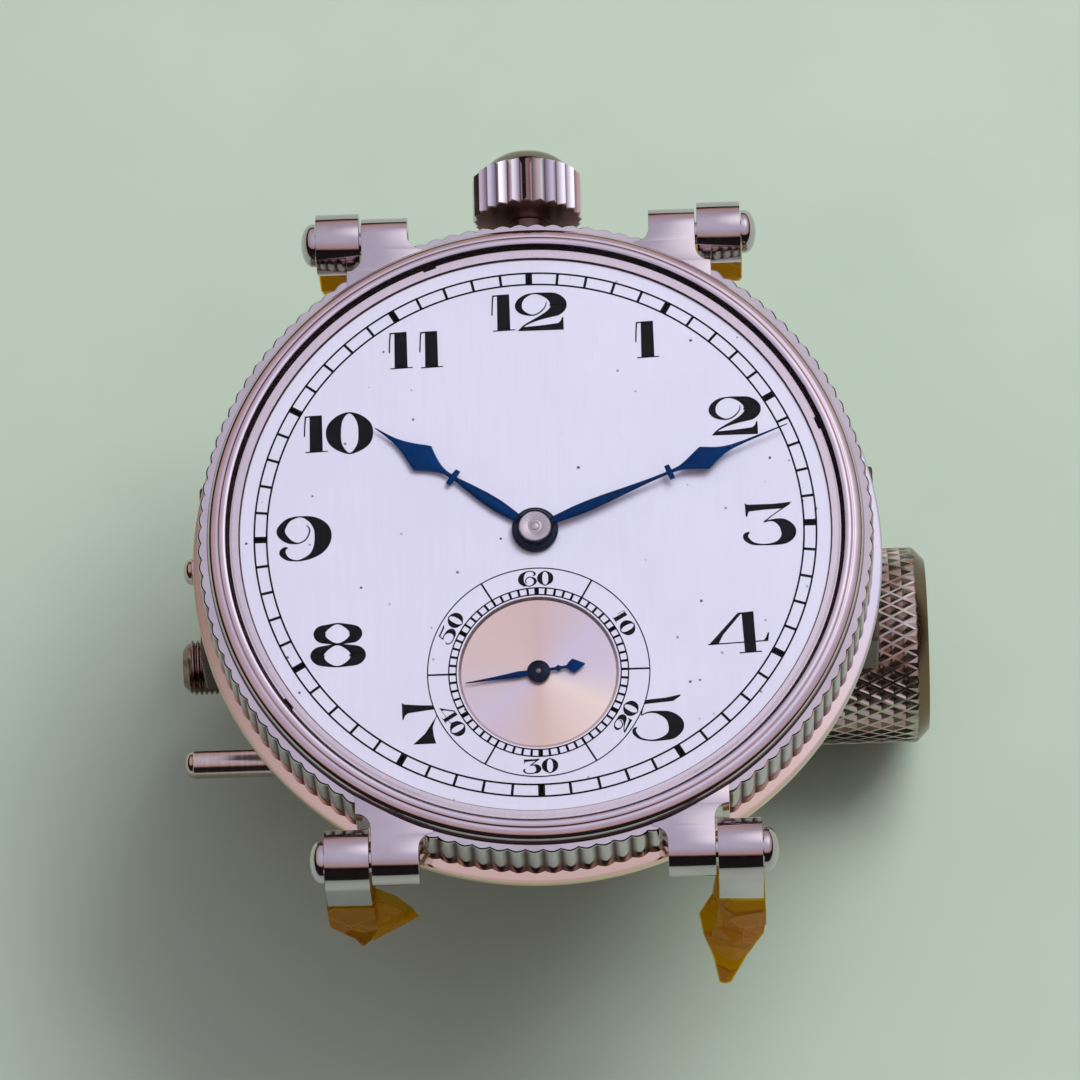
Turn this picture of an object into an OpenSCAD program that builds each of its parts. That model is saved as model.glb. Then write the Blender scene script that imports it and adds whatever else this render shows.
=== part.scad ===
// Small-seconds wristwatch with hinged lugs, held dial up on a screw-jaw watch holder.
// Origin: on the bench under the watch's axis. +Z is up, +Y is 12 o'clock, +X is 3 o'clock.

/* [Holder] */
// Height of the lead screw and the guide rods above the bench
screw_h = 8; // [7.5:0.1:8.2]
// Height of the jaw blocks
block_h = 16; // [15:0.5:17]
// Length of the fixed jaw's block along the screw
fixed_block_l = 14.5; // [13:0.5:15]
// Length of the moving jaw's block along the screw
moving_block_l = 7; // [6:0.5:7.5]
// Distance from the watch's axis to the outer face of either block
block_reach = 12; // [11:0.5:13]
// Width of the jaw blocks
block_w = 18; // [16:0.5:20]
// Width of the jaw arms
arm_w = 12.5; // [10:0.5:14]
// Height of the seat that the watch's back rests on
seat_h = 23.2; // [22.5:0.1:26]
// Thickness of an arm under the seat
arm_t = 3; // [2.5:0.1:4]
// Height of the jaw lips above the seat
lip_h = 2.5; // [1.5:0.1:2.6]
// Thickness of the jaw lips
lip_t = 1.5; // [1:0.1:2]
// Width of the seat's ledge, from the lip inwards
ledge_w = 5; // [4:0.1:6]
// Thickness of the nylon pads in the lips
pad_t = 0.5; // [0.3:0.1:0.8]
// Radius of the guide rods
rod_r = 1; // [0.8:0.05:1.1]
// Distance from a guide rod's axis to the side of the block
rod_margin = 1.9; // [1.8:0.05:2.5]
// How far the rods and the screw reach past the moving jaw
rod_reach = 12.9; // [10:0.1:16]
// Radius of the rods' set screws
rod_screw_r = 0.8; // [0.6:0.05:0.9]
// Outer radius of the lead screw
screw_r = 1.9; // [1.5:0.05:2.2]
// Radius of the knurled knob
knob_r = 6.7; // [6:0.1:7]
// Length of the knurled knob
knob_l = 9.2; // [7:0.1:11]
// Width of the bevelled rim at the knob's outer end
knob_rim = 0.85; // [0.4:0.05:1.2]
// Radius of the knob's hub
hub_r = 3.2; // [2.8:0.1:4]
// Length of the knob's hub
hub_l = 5; // [4:0.1:7]
// Radius of the knob's set screw
knob_screw_r = 0.6; // [0.4:0.05:0.8]
// Radius of the thrust collar on the screw
collar_r = 3; // [2.6:0.1:4]
// Thickness of the thrust collar
collar_t = 1.2; // [0.8:0.1:1.5]

/* [Case] */
// Depth of the case from the top of the dial to the underside of the back
case_depth = 8.3; // [8.3:0.1:9.5]
// Distance from the wall inside the bezel to the top of the coin edge
case_wall = 1.6; // [1.5:0.05:1.8]
// Ribs round the coin edge
edge_ribs = 120; // [90:1:130]
// Depth of the grooves between the ribs
edge_groove = 0.25; // [0.15:0.01:0.3]
// Height of the coin-edge band
band_h = 4.1; // [4.1:0.05:4.4]
// Drop from the top of the dial to the case's shoulder
shoulder_drop = 0.3; // [0.2:0.05:0.39]
// How far the flange at the foot of the band stands out past the coin edge
flange_w = 1; // [0.7:0.05:1.2]
// Thickness of the flange
flange_t = 1; // [0.8:0.05:1.2]
// How far the back's wall stands in from the coin edge, under the flange
back_inset = 1.6; // [1.4:0.05:1.7]
// Thickness of the back's floor
back_t = 1.1; // [0.8:0.05:1.1]
// Bevel round the back's lower edge
back_bevel = 0.8; // [0.4:0.1:1.2]
// Thickness of the screwed spigot on the back
spigot_t = 0.75; // [0.5:0.05:0.9]
// Height of that spigot
spigot_h = 0.95; // [0.6:0.05:1]
// How far the spigot stands in from the back's wall
spigot_inset = 0.15; // [0.1:0.01:0.2]
// Width of the ledge that the movement's plate sits on
plate_ledge = 0.5; // [0.4:0.02:0.6]
// Width of the back gasket
gasket_w = 0.6; // [0.4:0.05:0.8]
// Thickness of the back gasket
gasket_t = 0.35; // [0.2:0.05:0.5]
// Width of the bezel at its foot
bezel_w = 1.1; // [0.95:0.05:1.2]
// Gap between the dial's edge and the wall inside the bezel
opening_gap = 0.55; // [0.5:0.01:0.6]
// Height of the bezel over the top of the dial
bezel_h = 1.6; // [1.5:0.05:2]
// Radius of the round bead on the bezel
bead_r = 0.4; // [0.25:0.05:0.4]
// Depth of the bezel's spigot under the shoulder
bezel_spigot_h = 0.8; // [0.5:0.05:0.9]
// Thickness of the bezel's spigot
bezel_spigot_t = 0.5; // [0.4:0.05:0.6]
// Width of the crystal's seat in the bezel
crystal_lap = 0.3; // [0.2:0.02:0.35]
// Thickness of the crystal
crystal_t = 0.45; // [0.3:0.05:0.5]
// Depth of the crystal's face under the top of the bezel
crystal_sink = 0.1; // [0.05:0.01:0.2]
// Width of the notched ring round the dial
ring_w = 0.85; // [0.7:0.05:1]
// Thickness of that ring
ring_t = 0.2; // [0.15:0.01:0.22]
// Width of the ring's notches
notch_w = 0.9; // [0.5:0.05:1.2]

/* [Lugs] */
// How far a lug pivot stands in from the coin edge's radius, towards 12 or 6 o'clock
pivot_inset = 0.15; // [-0.2:0.05:0.4]
// Depth of the lug pivots under the top of the dial
pivot_drop = 1.95; // [1.9:0.05:2.4]
// Distance from the middle to a horn's inner face
horn_x = 8.1; // [7.5:0.1:8.6]
// Width of a horn
horn_w = 3.1; // [2.8:0.1:3.5]
// Radius of a horn's round end
horn_r = 1.6; // [1.4:0.05:1.65]
// Radius of a link's barrel
barrel_r = 2.05; // [1.8:0.05:2.2]
// Width of a link
link_w = 2.9; // [2.5:0.1:3.2]
// Thickness of a link's bar
link_t = 2.3; // [2:0.05:2.5]
// Distance from the pivot to the strap bar's hole
link_l = 7; // [6:0.1:9]
// Radius of the strap bar's hole
strap_hole_r = 0.8; // [0.5:0.05:0.85]
// Radius of the lug pins
pin_r = 0.8; // [0.6:0.05:1]
// Radius of a pin's domed head
pin_head_r = 1.45; // [1.1:0.05:1.7]
// Height of a pin's domed head
pin_head_h = 1; // [0.5:0.05:1.1]
// Thickness of the folded tape
tape_t = 0.15; // [0.1:0.01:0.2]
// Height of the tape's edge above the strap bar's hole, at the longer wraps
tape_high = 3.8; // [3:0.1:4.4]
// Height of the tape's edge above the strap bar's hole, at the shorter wraps
tape_low = 2.9; // [1.4:0.1:3.4]
// Length of the tape's pinched tail, at the longer wraps
tape_tip = 2.3; // [1.5:0.1:4]
// Length of the tape's pinched tail, at the shorter wraps
tape_tail = 8.3; // [6:0.1:9]
// Slope of the tails, outwards from the link
tape_lean = 0.3; // [0.1:0.05:0.5]

/* [Crown] */
// Depth of the winding stem under the top of the dial
stem_drop = 2.45; // [2.4:0.01:2.5]
// Radius over the crown's flutes
crown_r = 3.7; // [3.4:0.05:4]
// Gap between the coin edge and the crown's inner end
crown_gap = 1.1; // [1.1:0.05:1.5]
// Length of the crown without its dome
crown_l = 3.4; // [3:0.1:4.5]
// Height of the crown's dome
crown_dome = 1.6; // [0.8:0.05:2]
// Flutes round the crown
crown_flutes = 24; // [18:1:28]
// Depth of the crown's flutes
crown_groove = 0.3; // [0.2:0.02:0.4]
// Radius of the crown tube
tube_r = 1.25; // [1:0.05:1.3]
// Radius of the winding stem
stem_r = 0.55; // [0.5:0.01:0.6]
// Side of the stem's square end
stem_square = 0.74; // [0.6:0.01:0.76]

/* [Dial] */
// How far the dial's edge stands out past the movement's plate
dial_lap = 0.25; // [0.2:0.01:0.4]
// Thickness of the dial
dial_t = 0.4; // [0.4:0.01:0.45]
// Radius of the dial's centre hole
dial_hole_r = 1.5; // [1.45:0.05:2]
// Distance from the watch's axis to the small seconds, for the laid-out train
seconds_place = 9.9; // [9.8:0.05:10]
// Radius of the sunk seconds disc
seconds_r = 5.25; // [5:0.05:5.5]
// Depth of the sunk seconds disc
seconds_sink = 0.18; // [0.1:0.01:0.2]
// Radius of the dial's feet
dial_foot_r = 0.4; // [0.3:0.05:0.5]
// Length of the dial's feet
dial_foot_l = 1.3; // [1:0.1:1.8]
// Distance from the dial's feet to the edge of the movement's plate
dial_foot_inset = 3.2; // [2.2:0.1:3.7]

/* [Hands] */
// Angle of the hour hand, clockwise from 12
hour_angle = 306; // [0:1:359]
// Angle of the minute hand, clockwise from 12
minute_angle = 68; // [0:1:359]
// Angle of the seconds hand, clockwise from 12
seconds_angle = 262; // [0:1:359]
// Distance from the hour hand's tip to the dial's edge
hour_gap = 7.05; // [6:0.05:9]
// Distance from the minute hand's tip to the dial's edge
minute_gap = 1.75; // [1.35:0.05:4]
// Length of the seconds hand
seconds_l = 4.85; // [4:0.05:5.1]
// Length of the seconds hand's tail
seconds_tail = 3; // [2:0.1:4]
// Thickness of the hands
hand_t = 0.12; // [0.08:0.01:0.14]
// Radius of the hour and minute hands' hubs
hub_hand_r = 1.7; // [1.6:0.05:1.9]
// Radius of the seconds hand's hub
hub_seconds_r = 0.85; // [0.6:0.05:1]

/* [Movement] */
// Radius of the main plate, which the dial, the case and the holder's seat follow
plate_r = 19.7; // [18:0.1:22]
// Thickness of the main plate
plate_t = 2.2; // [2.2:0.01:2.22]
// How far the bridges' edge stands in from the main plate's
bridge_inset = 1.1; // [1:0.01:1.2]
// Thickness of the bridges
bridge_t = 0.9; // [0.6:0.02:0.92]
// Clear height between the main plate and the bridges
train_h = 2.8; // [2.8:0.01:2.82]
// Width of the bridges' rim walls
bridge_wall = 1.2; // [1:0.02:1.3]
// Thickness of the train wheels
wheel_t = 0.2; // [0.1:0.01:0.22]
// Radius of the wheels' pivots
pivot_r = 0.15; // [0.1:0.01:0.18]
// Radius of the jewels
jewel_r = 0.65; // [0.5:0.01:0.7]
// Thickness of the jewels
jewel_t = 0.4; // [0.3:0.02:0.5]
// Radius of the bridge screws' shanks
bridge_screw_r = 0.4; // [0.3:0.02:0.45]
// Radius of the bridge screws' heads
bridge_head_r = 0.75; // [0.6:0.02:0.8]
// Gear module of the barrel and the centre pinion
barrel_module = 0.2; // [0.198:0.001:0.202]
// Gear module of the centre wheel and the third pinion
centre_module = 0.15; // [0.148:0.001:0.152]
// Gear module of the third wheel and the fourth pinion
third_module = 0.14; // [0.138:0.001:0.142]
// Gear module of the fourth wheel and the escape pinion
fourth_module = 0.12; // [0.118:0.001:0.122]
// Gear module of the winding wheels
winding_module = 0.182; // [0.18:0.001:0.184]
// Gear module of the cannon pinion and the minute wheel
motion_module = 0.14; // [0.13:0.001:0.145]
// Radius over the escape wheel's teeth, for the laid-out train
escape_tip = 3; // [2.8:0.05:3.1]
// Radius of the balance wheel's rim, for the laid-out train
balance_rim = 6.4; // [6:0.05:6.5]
// Turns of the hairspring
hairspring_turns = 10; // [6:1:11]
// Turns of the mainspring
mainspring_turns = 11; // [6:1:12]

/* [Fits] */
// Radial clearance of turning shafts
run_fit = 0.03; // [0.02:0.005:0.06]
// Clearance of sliding and screwed parts
slide_fit = 0.05; // [0.03:0.01:0.08]
// Side clearance between the links, the horns and the pin heads
link_gap = 0.15; // [0.1:0.01:0.2]

/* [Hidden] */
$fn = 96;
cut = 0.5;

// Colours
steel = [0.78, 0.77, 0.77];
dark_steel = [0.45, 0.44, 0.46];
nickel = [0.70, 0.66, 0.58];
brass = [0.85, 0.68, 0.35];
blued = [0.12, 0.16, 0.45];
silvered = [0.86, 0.85, 0.87];
amber = [0.80, 0.45, 0.08];
ruby = [0.75, 0.10, 0.20];
nylon = [0.92, 0.90, 0.85];
rubber = [0.10, 0.10, 0.10];

// Heights from the top of the dial downwards, in the watch's own frame
dial_h = seat_h + case_depth;
shoulder_z = -shoulder_drop;
band_z = shoulder_z - band_h;
flange_z = band_z - flange_t;
floor_z = back_t - case_depth;
plate_top = -dial_t;
plate_z = plate_top - plate_t;
bridge_z = plate_z - train_h;
bridge_back = bridge_z - bridge_t;
plate_seat = bezel_spigot_h + shoulder_drop;
ledge_z = band_z + spigot_h + slide_fit;
crystal_z = bezel_h - crystal_sink - crystal_t;

// Radii from the movement's plate outwards
dial_r = plate_r + dial_lap;
opening_r = dial_r + opening_gap;
bezel_r = opening_r + bezel_w;
edge_r = opening_r + case_wall;
flange_r = edge_r + flange_w;
back_r = edge_r - back_inset;
ledge_r = plate_r - plate_ledge;
spigot_r = back_r - spigot_inset;
well_r = spigot_r - spigot_t;
crystal_r = opening_r + crystal_lap;
bezel_spigot_r = opening_r + bezel_spigot_t;
dial_foot_at = plate_r - dial_foot_inset;
hour_l = dial_r - hour_gap;
minute_l = dial_r - minute_gap;
crown_y = edge_r + crown_gap;
gasket_in = spigot_r + 2 * gasket_w;
ring_r = opening_r - slide_fit;
pivot_z = -pivot_drop;
stem_z = -stem_drop;

// Lug places
pivot_y = edge_r - pivot_inset;
horn_out = horn_x + horn_w;
link_x = horn_out + link_gap;
link_out = link_x + link_w;
bar_in = barrel_r - link_t;
bar_mid = barrel_r - link_t / 2;

// Holder places
pad_r = back_r + slide_fit;
pocket_r = pad_r + pad_t;
lip_out = pocket_r + lip_t;
rod_y = block_w / 2 - rod_margin;
fixed_in = block_reach - fixed_block_l;
rods_end = -block_reach - rod_reach;
hub_x = block_reach + slide_fit;
knob_x = hub_x + hub_l;
collar_x = fixed_in - slide_fit - collar_t;

// Tooth counts
barrel_teeth = 80;
centre_leaves = 10;
centre_teeth = 80;
third_leaves = 10;
third_teeth = 75;
fourth_leaves = 10;
fourth_teeth = 80;
escape_leaves = 8;
escape_teeth = 15;
ratchet_teeth = 44;
crown_wheel_teeth = 40;
winding_leaves = 10;
cannon_leaves = 12;
minute_teeth = 36;
minute_leaves = 10;
hour_teeth = 40;

// The train is laid out for a plate of this radius, and its plan grows with the plate
layout_r = 19.7;
plan = plate_r / layout_r;
bridge_r = plate_r - bridge_inset * plan;
wall_w = bridge_wall * plan;
seconds_y = seconds_place * plan;
barrel_m = barrel_module * plan;
centre_m = centre_module * plan;
third_m = third_module * plan;
fourth_m = fourth_module * plan;
winding_m = winding_module * plan;
motion_m = motion_module * plan;
escape_r = escape_tip * plan;
balance_r = balance_rim * plan;
pallet_lead = 0.7 * plan;
click_lead = 1.3 * plan;
balance_from_pallet = 5.55 * plan;
cock_reach = 10.2 * plan;
pallet_reach = 4.8 * plan;

// Wheel places, in plan
function polar(r, a) = [r * cos(a), r * sin(a)];
function mesh_distance(n1, n2, m) = (n1 + n2) * m / 2;
function bearing(from, to) = atan2(to[1] - from[1], to[0] - from[0]);
centre_at = [0, 0];
barrel_at = polar(mesh_distance(barrel_teeth, centre_leaves, barrel_m), 45);
fourth_at = [0, -seconds_y];
third_from_centre = mesh_distance(centre_teeth, third_leaves, centre_m);
third_from_fourth = mesh_distance(third_teeth, fourth_leaves, third_m);
third_y = -(pow(third_from_centre, 2) - pow(third_from_fourth, 2) + pow(seconds_y, 2)) / (2 * seconds_y);
third_at = [sqrt(pow(third_from_centre, 2) - pow(third_y, 2)), third_y];
escape_at = fourth_at + polar(mesh_distance(fourth_teeth, escape_leaves, fourth_m), 170);
pallet_at = escape_at + polar(escape_r + pallet_lead, 139);
balance_at = pallet_at + polar(balance_from_pallet, 113);
winding_distance = mesh_distance(ratchet_teeth, crown_wheel_teeth, winding_m);
crown_wheel_at = [0, barrel_at[1] + sqrt(pow(winding_distance, 2) - pow(barrel_at[0], 2))];
motion_distance = mesh_distance(cannon_leaves, minute_teeth, motion_m);
hour_m = 2 * motion_distance / (minute_leaves + hour_teeth);
minute_at = [0, motion_distance];
click_at = barrel_at + polar(ratchet_teeth * winding_m / 2 + click_lead, -20);
cock_foot_at = balance_at + polar(cock_reach, 103);
pallet_foot_at = pallet_at + polar(pallet_reach, 218);

// Drops of the wheels' lower faces under the plate's two faces, seen with the dial up
centre_wheel_drop = 0.35;
escape_wheel_drop = 0.8;
third_wheel_drop = 0.95;
roller_drop = 1.1;
barrel_drop = 1.1;
pallet_bridge_drop = 1.15;
fourth_wheel_drop = 1.55;
balance_drop = 2.3;
hairspring_drop = 2.65;
hour_wheel_drop = 0.32;
minute_wheel_drop = 0.7;
ratchet_t = 0.3;
pallet_bridge_t = 0.4;
barrel_h = 1.5;
balance_t = 0.6;
centre_wheel_z = plate_z - centre_wheel_drop;
escape_wheel_z = plate_z - escape_wheel_drop;
third_wheel_z = plate_z - third_wheel_drop;
ratchet_z = stem_z - winding_leaves * winding_m / 2 - ratchet_t / 2;
roller_z = plate_z - roller_drop;
pallet_bridge_z = plate_z - pallet_bridge_drop;
fourth_wheel_z = plate_z - fourth_wheel_drop;
barrel_top = plate_z - barrel_drop;
barrel_z = barrel_top - barrel_h;
balance_z = plate_z - balance_drop;
hairspring_z = plate_z - hairspring_drop;
minute_wheel_z = plate_top - minute_wheel_drop;
hour_wheel_z = plate_top - hour_wheel_drop;
motion_well = 0.75;
seconds_hand_z = 0.06;
hour_hand_z = 0.3;
minute_hand_z = 0.6;
post_top = 0.9;

// Arbors of the motion work
cannon_r = 1.05;
cannon_bore_r = 0.5;
hour_pipe_in = cannon_r + run_fit;
hour_pipe_r = 1.35;
seconds_post_r = 0.25;
stud_r = 0.3;
crown_stud_r = 0.6;
barrel_wall = 0.35;
barrel_floor = 0.25;
barrel_shoulder = 0.6;
drum_r = barrel_teeth * barrel_m / 2 - barrel_shoulder;
arbor_r = 0.8;
arbor_core_r = 1.6;
barrel_pivot_r = 0.4;
centre_arbor_r = 0.75 * plan;
train_arbor_r = 0.4;
escape_arbor_r = 0.25;
fork_arbor_r = 0.2;
balance_arbor_r = 0.3;
train_jewels = [third_at, fourth_at, escape_at];

// Outline helpers
function arc(c, r, a0, a1, steps) =
    [for (i = [0 : steps]) c + polar(r, a0 + (a1 - a0) * i / steps)];

function gear_outline(teeth, m, rise = 0.8, depth = 1.1) =
    let (pitch = 360 / teeth, tip = teeth * m / 2 + rise * m, root = teeth * m / 2 - depth * m)
    [for (i = [0 : teeth - 1], k = [[root, -0.27], [tip, -0.12], [tip, 0.12], [root, 0.27]])
        polar(k[0], (i + k[1]) * pitch)];

function rib_outline(ribs, r, groove) =
    let (pitch = 360 / ribs)
    [for (i = [0 : ribs - 1], k = [[groove, 0], [0.3 * groove, 0.2], [0, 0.5], [0.3 * groove, 0.8]])
        polar(r - k[0], (i + k[1]) * pitch)];

function spiral_outline(r0, r1, turns, t) =
    let (steps = 24 * turns)
    concat([for (i = [0 : steps]) polar(r0 + (r1 - r0) * i / steps, i * 15)],
           [for (i = [steps : -1 : 0]) polar(r0 + t + (r1 - r0) * i / steps, i * 15)]);

module at_dial(z = 0) {
    translate([0, 0, dial_h + z]) children();
}

module at_point(p, z = 0) {
    translate([p[0], p[1], dial_h + z]) children();
}

module tube_z(r, r_in, h) {
    difference() {
        cylinder(r = r, h = h);
        translate([0, 0, -cut]) cylinder(r = r_in, h = h + 2 * cut);
    }
}

module along_x(x, y, z, l, r) {
    translate([x, y, z]) rotate([0, 90, 0]) cylinder(r = r, h = l);
}

module along_y(x, y, z, l, r) {
    translate([x, y, z]) rotate([-90, 0, 0]) cylinder(r = r, h = l);
}

module sector_2d(r, a0, a1) {
    steps = 6;
    polygon(concat([[0, 0]], [for (i = [0 : steps]) polar(2 * r, a0 + (a1 - a0) * i / steps)]));
}

module ring_sector(r, r_in, h, a0, a1) {
    linear_extrude(h) intersection() {
        difference() {
            circle(r);
            circle(r_in);
        }
        sector_2d(r, a0, a1);
    }
}

// Holder
module jaw(inner, outer, sign) {
    seat_in = pocket_r - ledge_w;
    foot_x = outer - 2 * arm_t;
    difference() {
        mirror([sign < 0 ? 1 : 0, 0, 0]) union() {
            translate([inner, -block_w / 2, 0]) cube([outer - inner, block_w, block_h]);
            translate([0, arm_w / 2, 0]) rotate([90, 0, 0]) linear_extrude(arm_w)
                polygon([[foot_x, block_h - cut], [outer, block_h - cut], [outer, block_h],
                         [seat_in + arm_t, seat_h - arm_t], [lip_out, seat_h - arm_t],
                         [lip_out, seat_h + lip_h], [seat_in, seat_h + lip_h], [seat_in, seat_h],
                         [foot_x, block_h]]);
        }
        translate([0, 0, seat_h]) cylinder(r = pocket_r, h = 2 * lip_h);
    }
}

module rod_bores(r, l, x) {
    for (side = [-1, 1])
        along_x(x, side * rod_y, screw_h, l, r);
}

module fixed_jaw() {
    color(dark_steel) difference() {
        jaw(fixed_in, block_reach, 1);
        rod_bores(rod_r, block_reach - fixed_in + 2 * cut, fixed_in - cut);
        along_x(fixed_in - cut, 0, screw_h, fixed_block_l + 2 * cut, screw_r + slide_fit);
        for (side = [-1, 1])
            along_y(rod_screw_x(), side > 0 ? rod_y : -block_w / 2 - cut, screw_h,
                    block_w / 2 - rod_y + cut, rod_screw_r);
    }
}

function rod_screw_x() = (fixed_in + block_reach) / 2;

module moving_jaw() {
    color(dark_steel) difference() {
        jaw(block_reach - moving_block_l, block_reach, -1);
        rod_bores(rod_r + slide_fit, moving_block_l + 2 * cut, -block_reach - cut);
        along_x(-block_reach - cut, 0, screw_h, moving_block_l + 2 * cut, screw_r + slide_fit);
    }
}

module jaw_pad(sign) {
    pad_w = arm_w - 2 * pad_t;
    translate([0, 0, seat_h]) intersection() {
        tube_z(pocket_r, pad_r, lip_h);
        translate([sign > 0 ? 0 : -2 * pocket_r, -pad_w / 2, -cut])
            cube([2 * pocket_r, pad_w, lip_h + 2 * cut]);
    }
}

module fixed_jaw_pad() {
    color(nylon) jaw_pad(1);
}

module moving_jaw_pad() {
    color(nylon) jaw_pad(-1);
}

module guide_rods() {
    rod_l = block_reach - rods_end;
    bevel = rod_r / 4;
    color(steel) for (side = [-1, 1])
        translate([rods_end, side * rod_y, screw_h]) rotate([0, 90, 0]) rotate_extrude()
            polygon([[0, 0], [rod_r - bevel, 0], [rod_r, bevel], [rod_r, rod_l], [0, rod_l]]);
}

module rod_set_screws() {
    screw_l = block_w / 2 - rod_y - rod_r;
    color(dark_steel) for (side = [-1, 1])
        difference() {
            along_y(rod_screw_x(), side > 0 ? rod_y + rod_r : -block_w / 2, screw_h, screw_l, rod_screw_r);
            translate([rod_screw_x(), side * block_w / 2, screw_h]) rotate([90, 0, 0])
                cylinder(r = rod_screw_r / 2, h = screw_l, center = true, $fn = 6);
        }
}

module lead_screw() {
    screw_l = knob_x + knob_l - 2 * knob_rim - rods_end;
    bevel = screw_r / 5;
    color(steel) translate([rods_end, 0, screw_h]) rotate([0, 90, 0]) rotate_extrude()
        polygon([[0, 0], [screw_r - bevel, 0], [screw_r, bevel], [screw_r, screw_l], [0, screw_l]]);
}

module clamp_knob() {
    knob_end = knob_l + hub_l;
    blind = knob_end - 2 * knob_rim;
    color(steel) difference() {
        translate([hub_x, 0, screw_h]) rotate([0, 90, 0]) rotate_extrude()
            polygon([[screw_r, 0], [hub_r, 0], [hub_r, hub_l], [knob_r - knob_rim, hub_l],
                     [knob_r, hub_l + knob_rim], [knob_r, knob_end - knob_rim],
                     [knob_r - knob_rim, knob_end], [0, knob_end], [0, blind], [screw_r, blind]]);
        translate([hub_x + hub_l / 2, 0, screw_h]) cylinder(r = knob_screw_r, h = 2 * hub_r);
    }
}

module knob_set_screw() {
    color(dark_steel) translate([hub_x + hub_l / 2, 0, screw_h]) difference() {
        translate([0, 0, screw_r]) cylinder(r = knob_screw_r, h = hub_r - screw_r - knob_screw_r / 4);
        translate([0, 0, hub_r - knob_screw_r]) cylinder(r = knob_screw_r / 2, h = hub_r, $fn = 6);
    }
}

module thrust_collar() {
    color(dark_steel) translate([collar_x, 0, screw_h]) rotate([0, 90, 0])
        tube_z(collar_r, screw_r, collar_t);
}

// Case
module horn(side_x, side_y) {
    translate([side_x > 0 ? horn_x : -horn_out, 0, pivot_z]) {
        translate([0, side_y > 0 ? ledge_r - horn_r : -pivot_y, -horn_r])
            cube([horn_w, pivot_y - ledge_r + horn_r, 2 * horn_r]);
        along_x(0, side_y * pivot_y, 0, horn_w, horn_r);
    }
}

module middle_case() {
    color(steel) at_dial() difference() {
        union() {
            translate([0, 0, band_z]) linear_extrude(band_h)
                polygon(rib_outline(edge_ribs, edge_r, edge_groove));
            for (side_x = [-1, 1], side_y = [-1, 1])
                horn(side_x, side_y);
        }
        translate([0, 0, band_z - cut]) cylinder(r = ledge_r, h = band_h + 2 * cut);
        translate([0, 0, band_z - cut]) cylinder(r = spigot_r + slide_fit, h = ledge_z - band_z + cut);
        translate([0, 0, plate_z]) cylinder(r = plate_r + run_fit, h = plate_t + cut);
        translate([0, 0, -plate_seat]) cylinder(r = bezel_spigot_r + slide_fit, h = plate_seat + cut);
        along_y(0, 0, stem_z, 2 * edge_r, tube_r);
        for (side_x = [-1, 1], side_y = [-1, 1])
            along_x(side_x > 0 ? horn_x - cut : -horn_out - cut, side_y * pivot_y, pivot_z,
                    horn_w + 2 * cut, pin_r);
    }
}

module bezel() {
    bead_at = [bezel_r - bead_r, bezel_h - bead_r];
    color(steel) at_dial() rotate_extrude() polygon(concat(
        [[opening_r, -plate_seat], [bezel_spigot_r, -plate_seat], [bezel_spigot_r, shoulder_z],
         [bezel_r, shoulder_z]],
        arc(bead_at, bead_r, 0, 120, 8),
        [[crystal_r, crystal_z + crystal_t], [crystal_r, crystal_z], [opening_r, crystal_z]]));
}

module crystal() {
    bevel = crystal_t / 4;
    color([0.85, 0.9, 0.95, 0.25]) at_dial(crystal_z) rotate_extrude()
        polygon([[0, 0], [crystal_r, 0], [crystal_r, crystal_t - bevel], [crystal_r - bevel, crystal_t],
                 [0, crystal_t]]);
}

module dial_ring() {
    color(steel) at_dial() difference() {
        tube_z(ring_r, ring_r - ring_w, ring_t);
        for (a = [340.8, 69.7, 234.6])
            rotate(-a) translate([-notch_w / 2, ring_r - ring_w / 2, -cut])
                cube([notch_w, ring_w, ring_t + 2 * cut]);
    }
}

module case_back() {
    groove_in = gasket_in - slide_fit;
    groove_out = gasket_in + gasket_w + slide_fit;
    flange_bevel = flange_t / 5;
    color(steel) at_dial() rotate_extrude() polygon([
        [0, -case_depth], [back_r - back_bevel, -case_depth], [back_r, back_bevel - case_depth],
        [back_r, flange_z], [flange_r - flange_bevel, flange_z], [flange_r, flange_z + flange_bevel],
        [flange_r, band_z - flange_bevel], [flange_r - flange_bevel, band_z],
        [groove_out, band_z], [groove_out, band_z - gasket_t],
        [groove_in, band_z - gasket_t], [groove_in, band_z], [spigot_r, band_z],
        [spigot_r, band_z + spigot_h], [well_r, band_z + spigot_h], [well_r, floor_z], [0, floor_z]]);
}

module back_gasket() {
    color(rubber) at_dial(band_z - gasket_t) tube_z(gasket_in + gasket_w, gasket_in, gasket_t);
}

case_screw_angles = [2, 196];

module screw_shape(shank_r, shank_l, head_r, head_t) {
    slot_w = head_r / 4;
    difference() {
        union() {
            translate([0, 0, -head_t]) cylinder(r = head_r, h = head_t);
            cylinder(r = shank_r, h = shank_l);
        }
        translate([-slot_w / 2, -2 * head_r, -head_t - cut]) cube([slot_w, 4 * head_r, cut + head_t / 2]);
    }
}

case_screw_inset = 0.6;
case_screw_at = ledge_r - case_screw_inset;

module case_screws() {
    color(steel) for (a = case_screw_angles)
        at_point(polar(case_screw_at, a), ledge_z)
            screw_shape(bridge_screw_r, plate_z - ledge_z + plate_t / 2, bridge_head_r + bridge_screw_r / 2,
                        gasket_t);
}

// Crown and stem
module crown_tube() {
    tube_in = spigot_r + slide_fit;
    color(steel) at_dial(stem_z) rotate([-90, 0, 0]) translate([0, 0, tube_in])
        tube_z(tube_r, stem_r + slide_fit, crown_y - slide_fit - tube_in);
}

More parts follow.
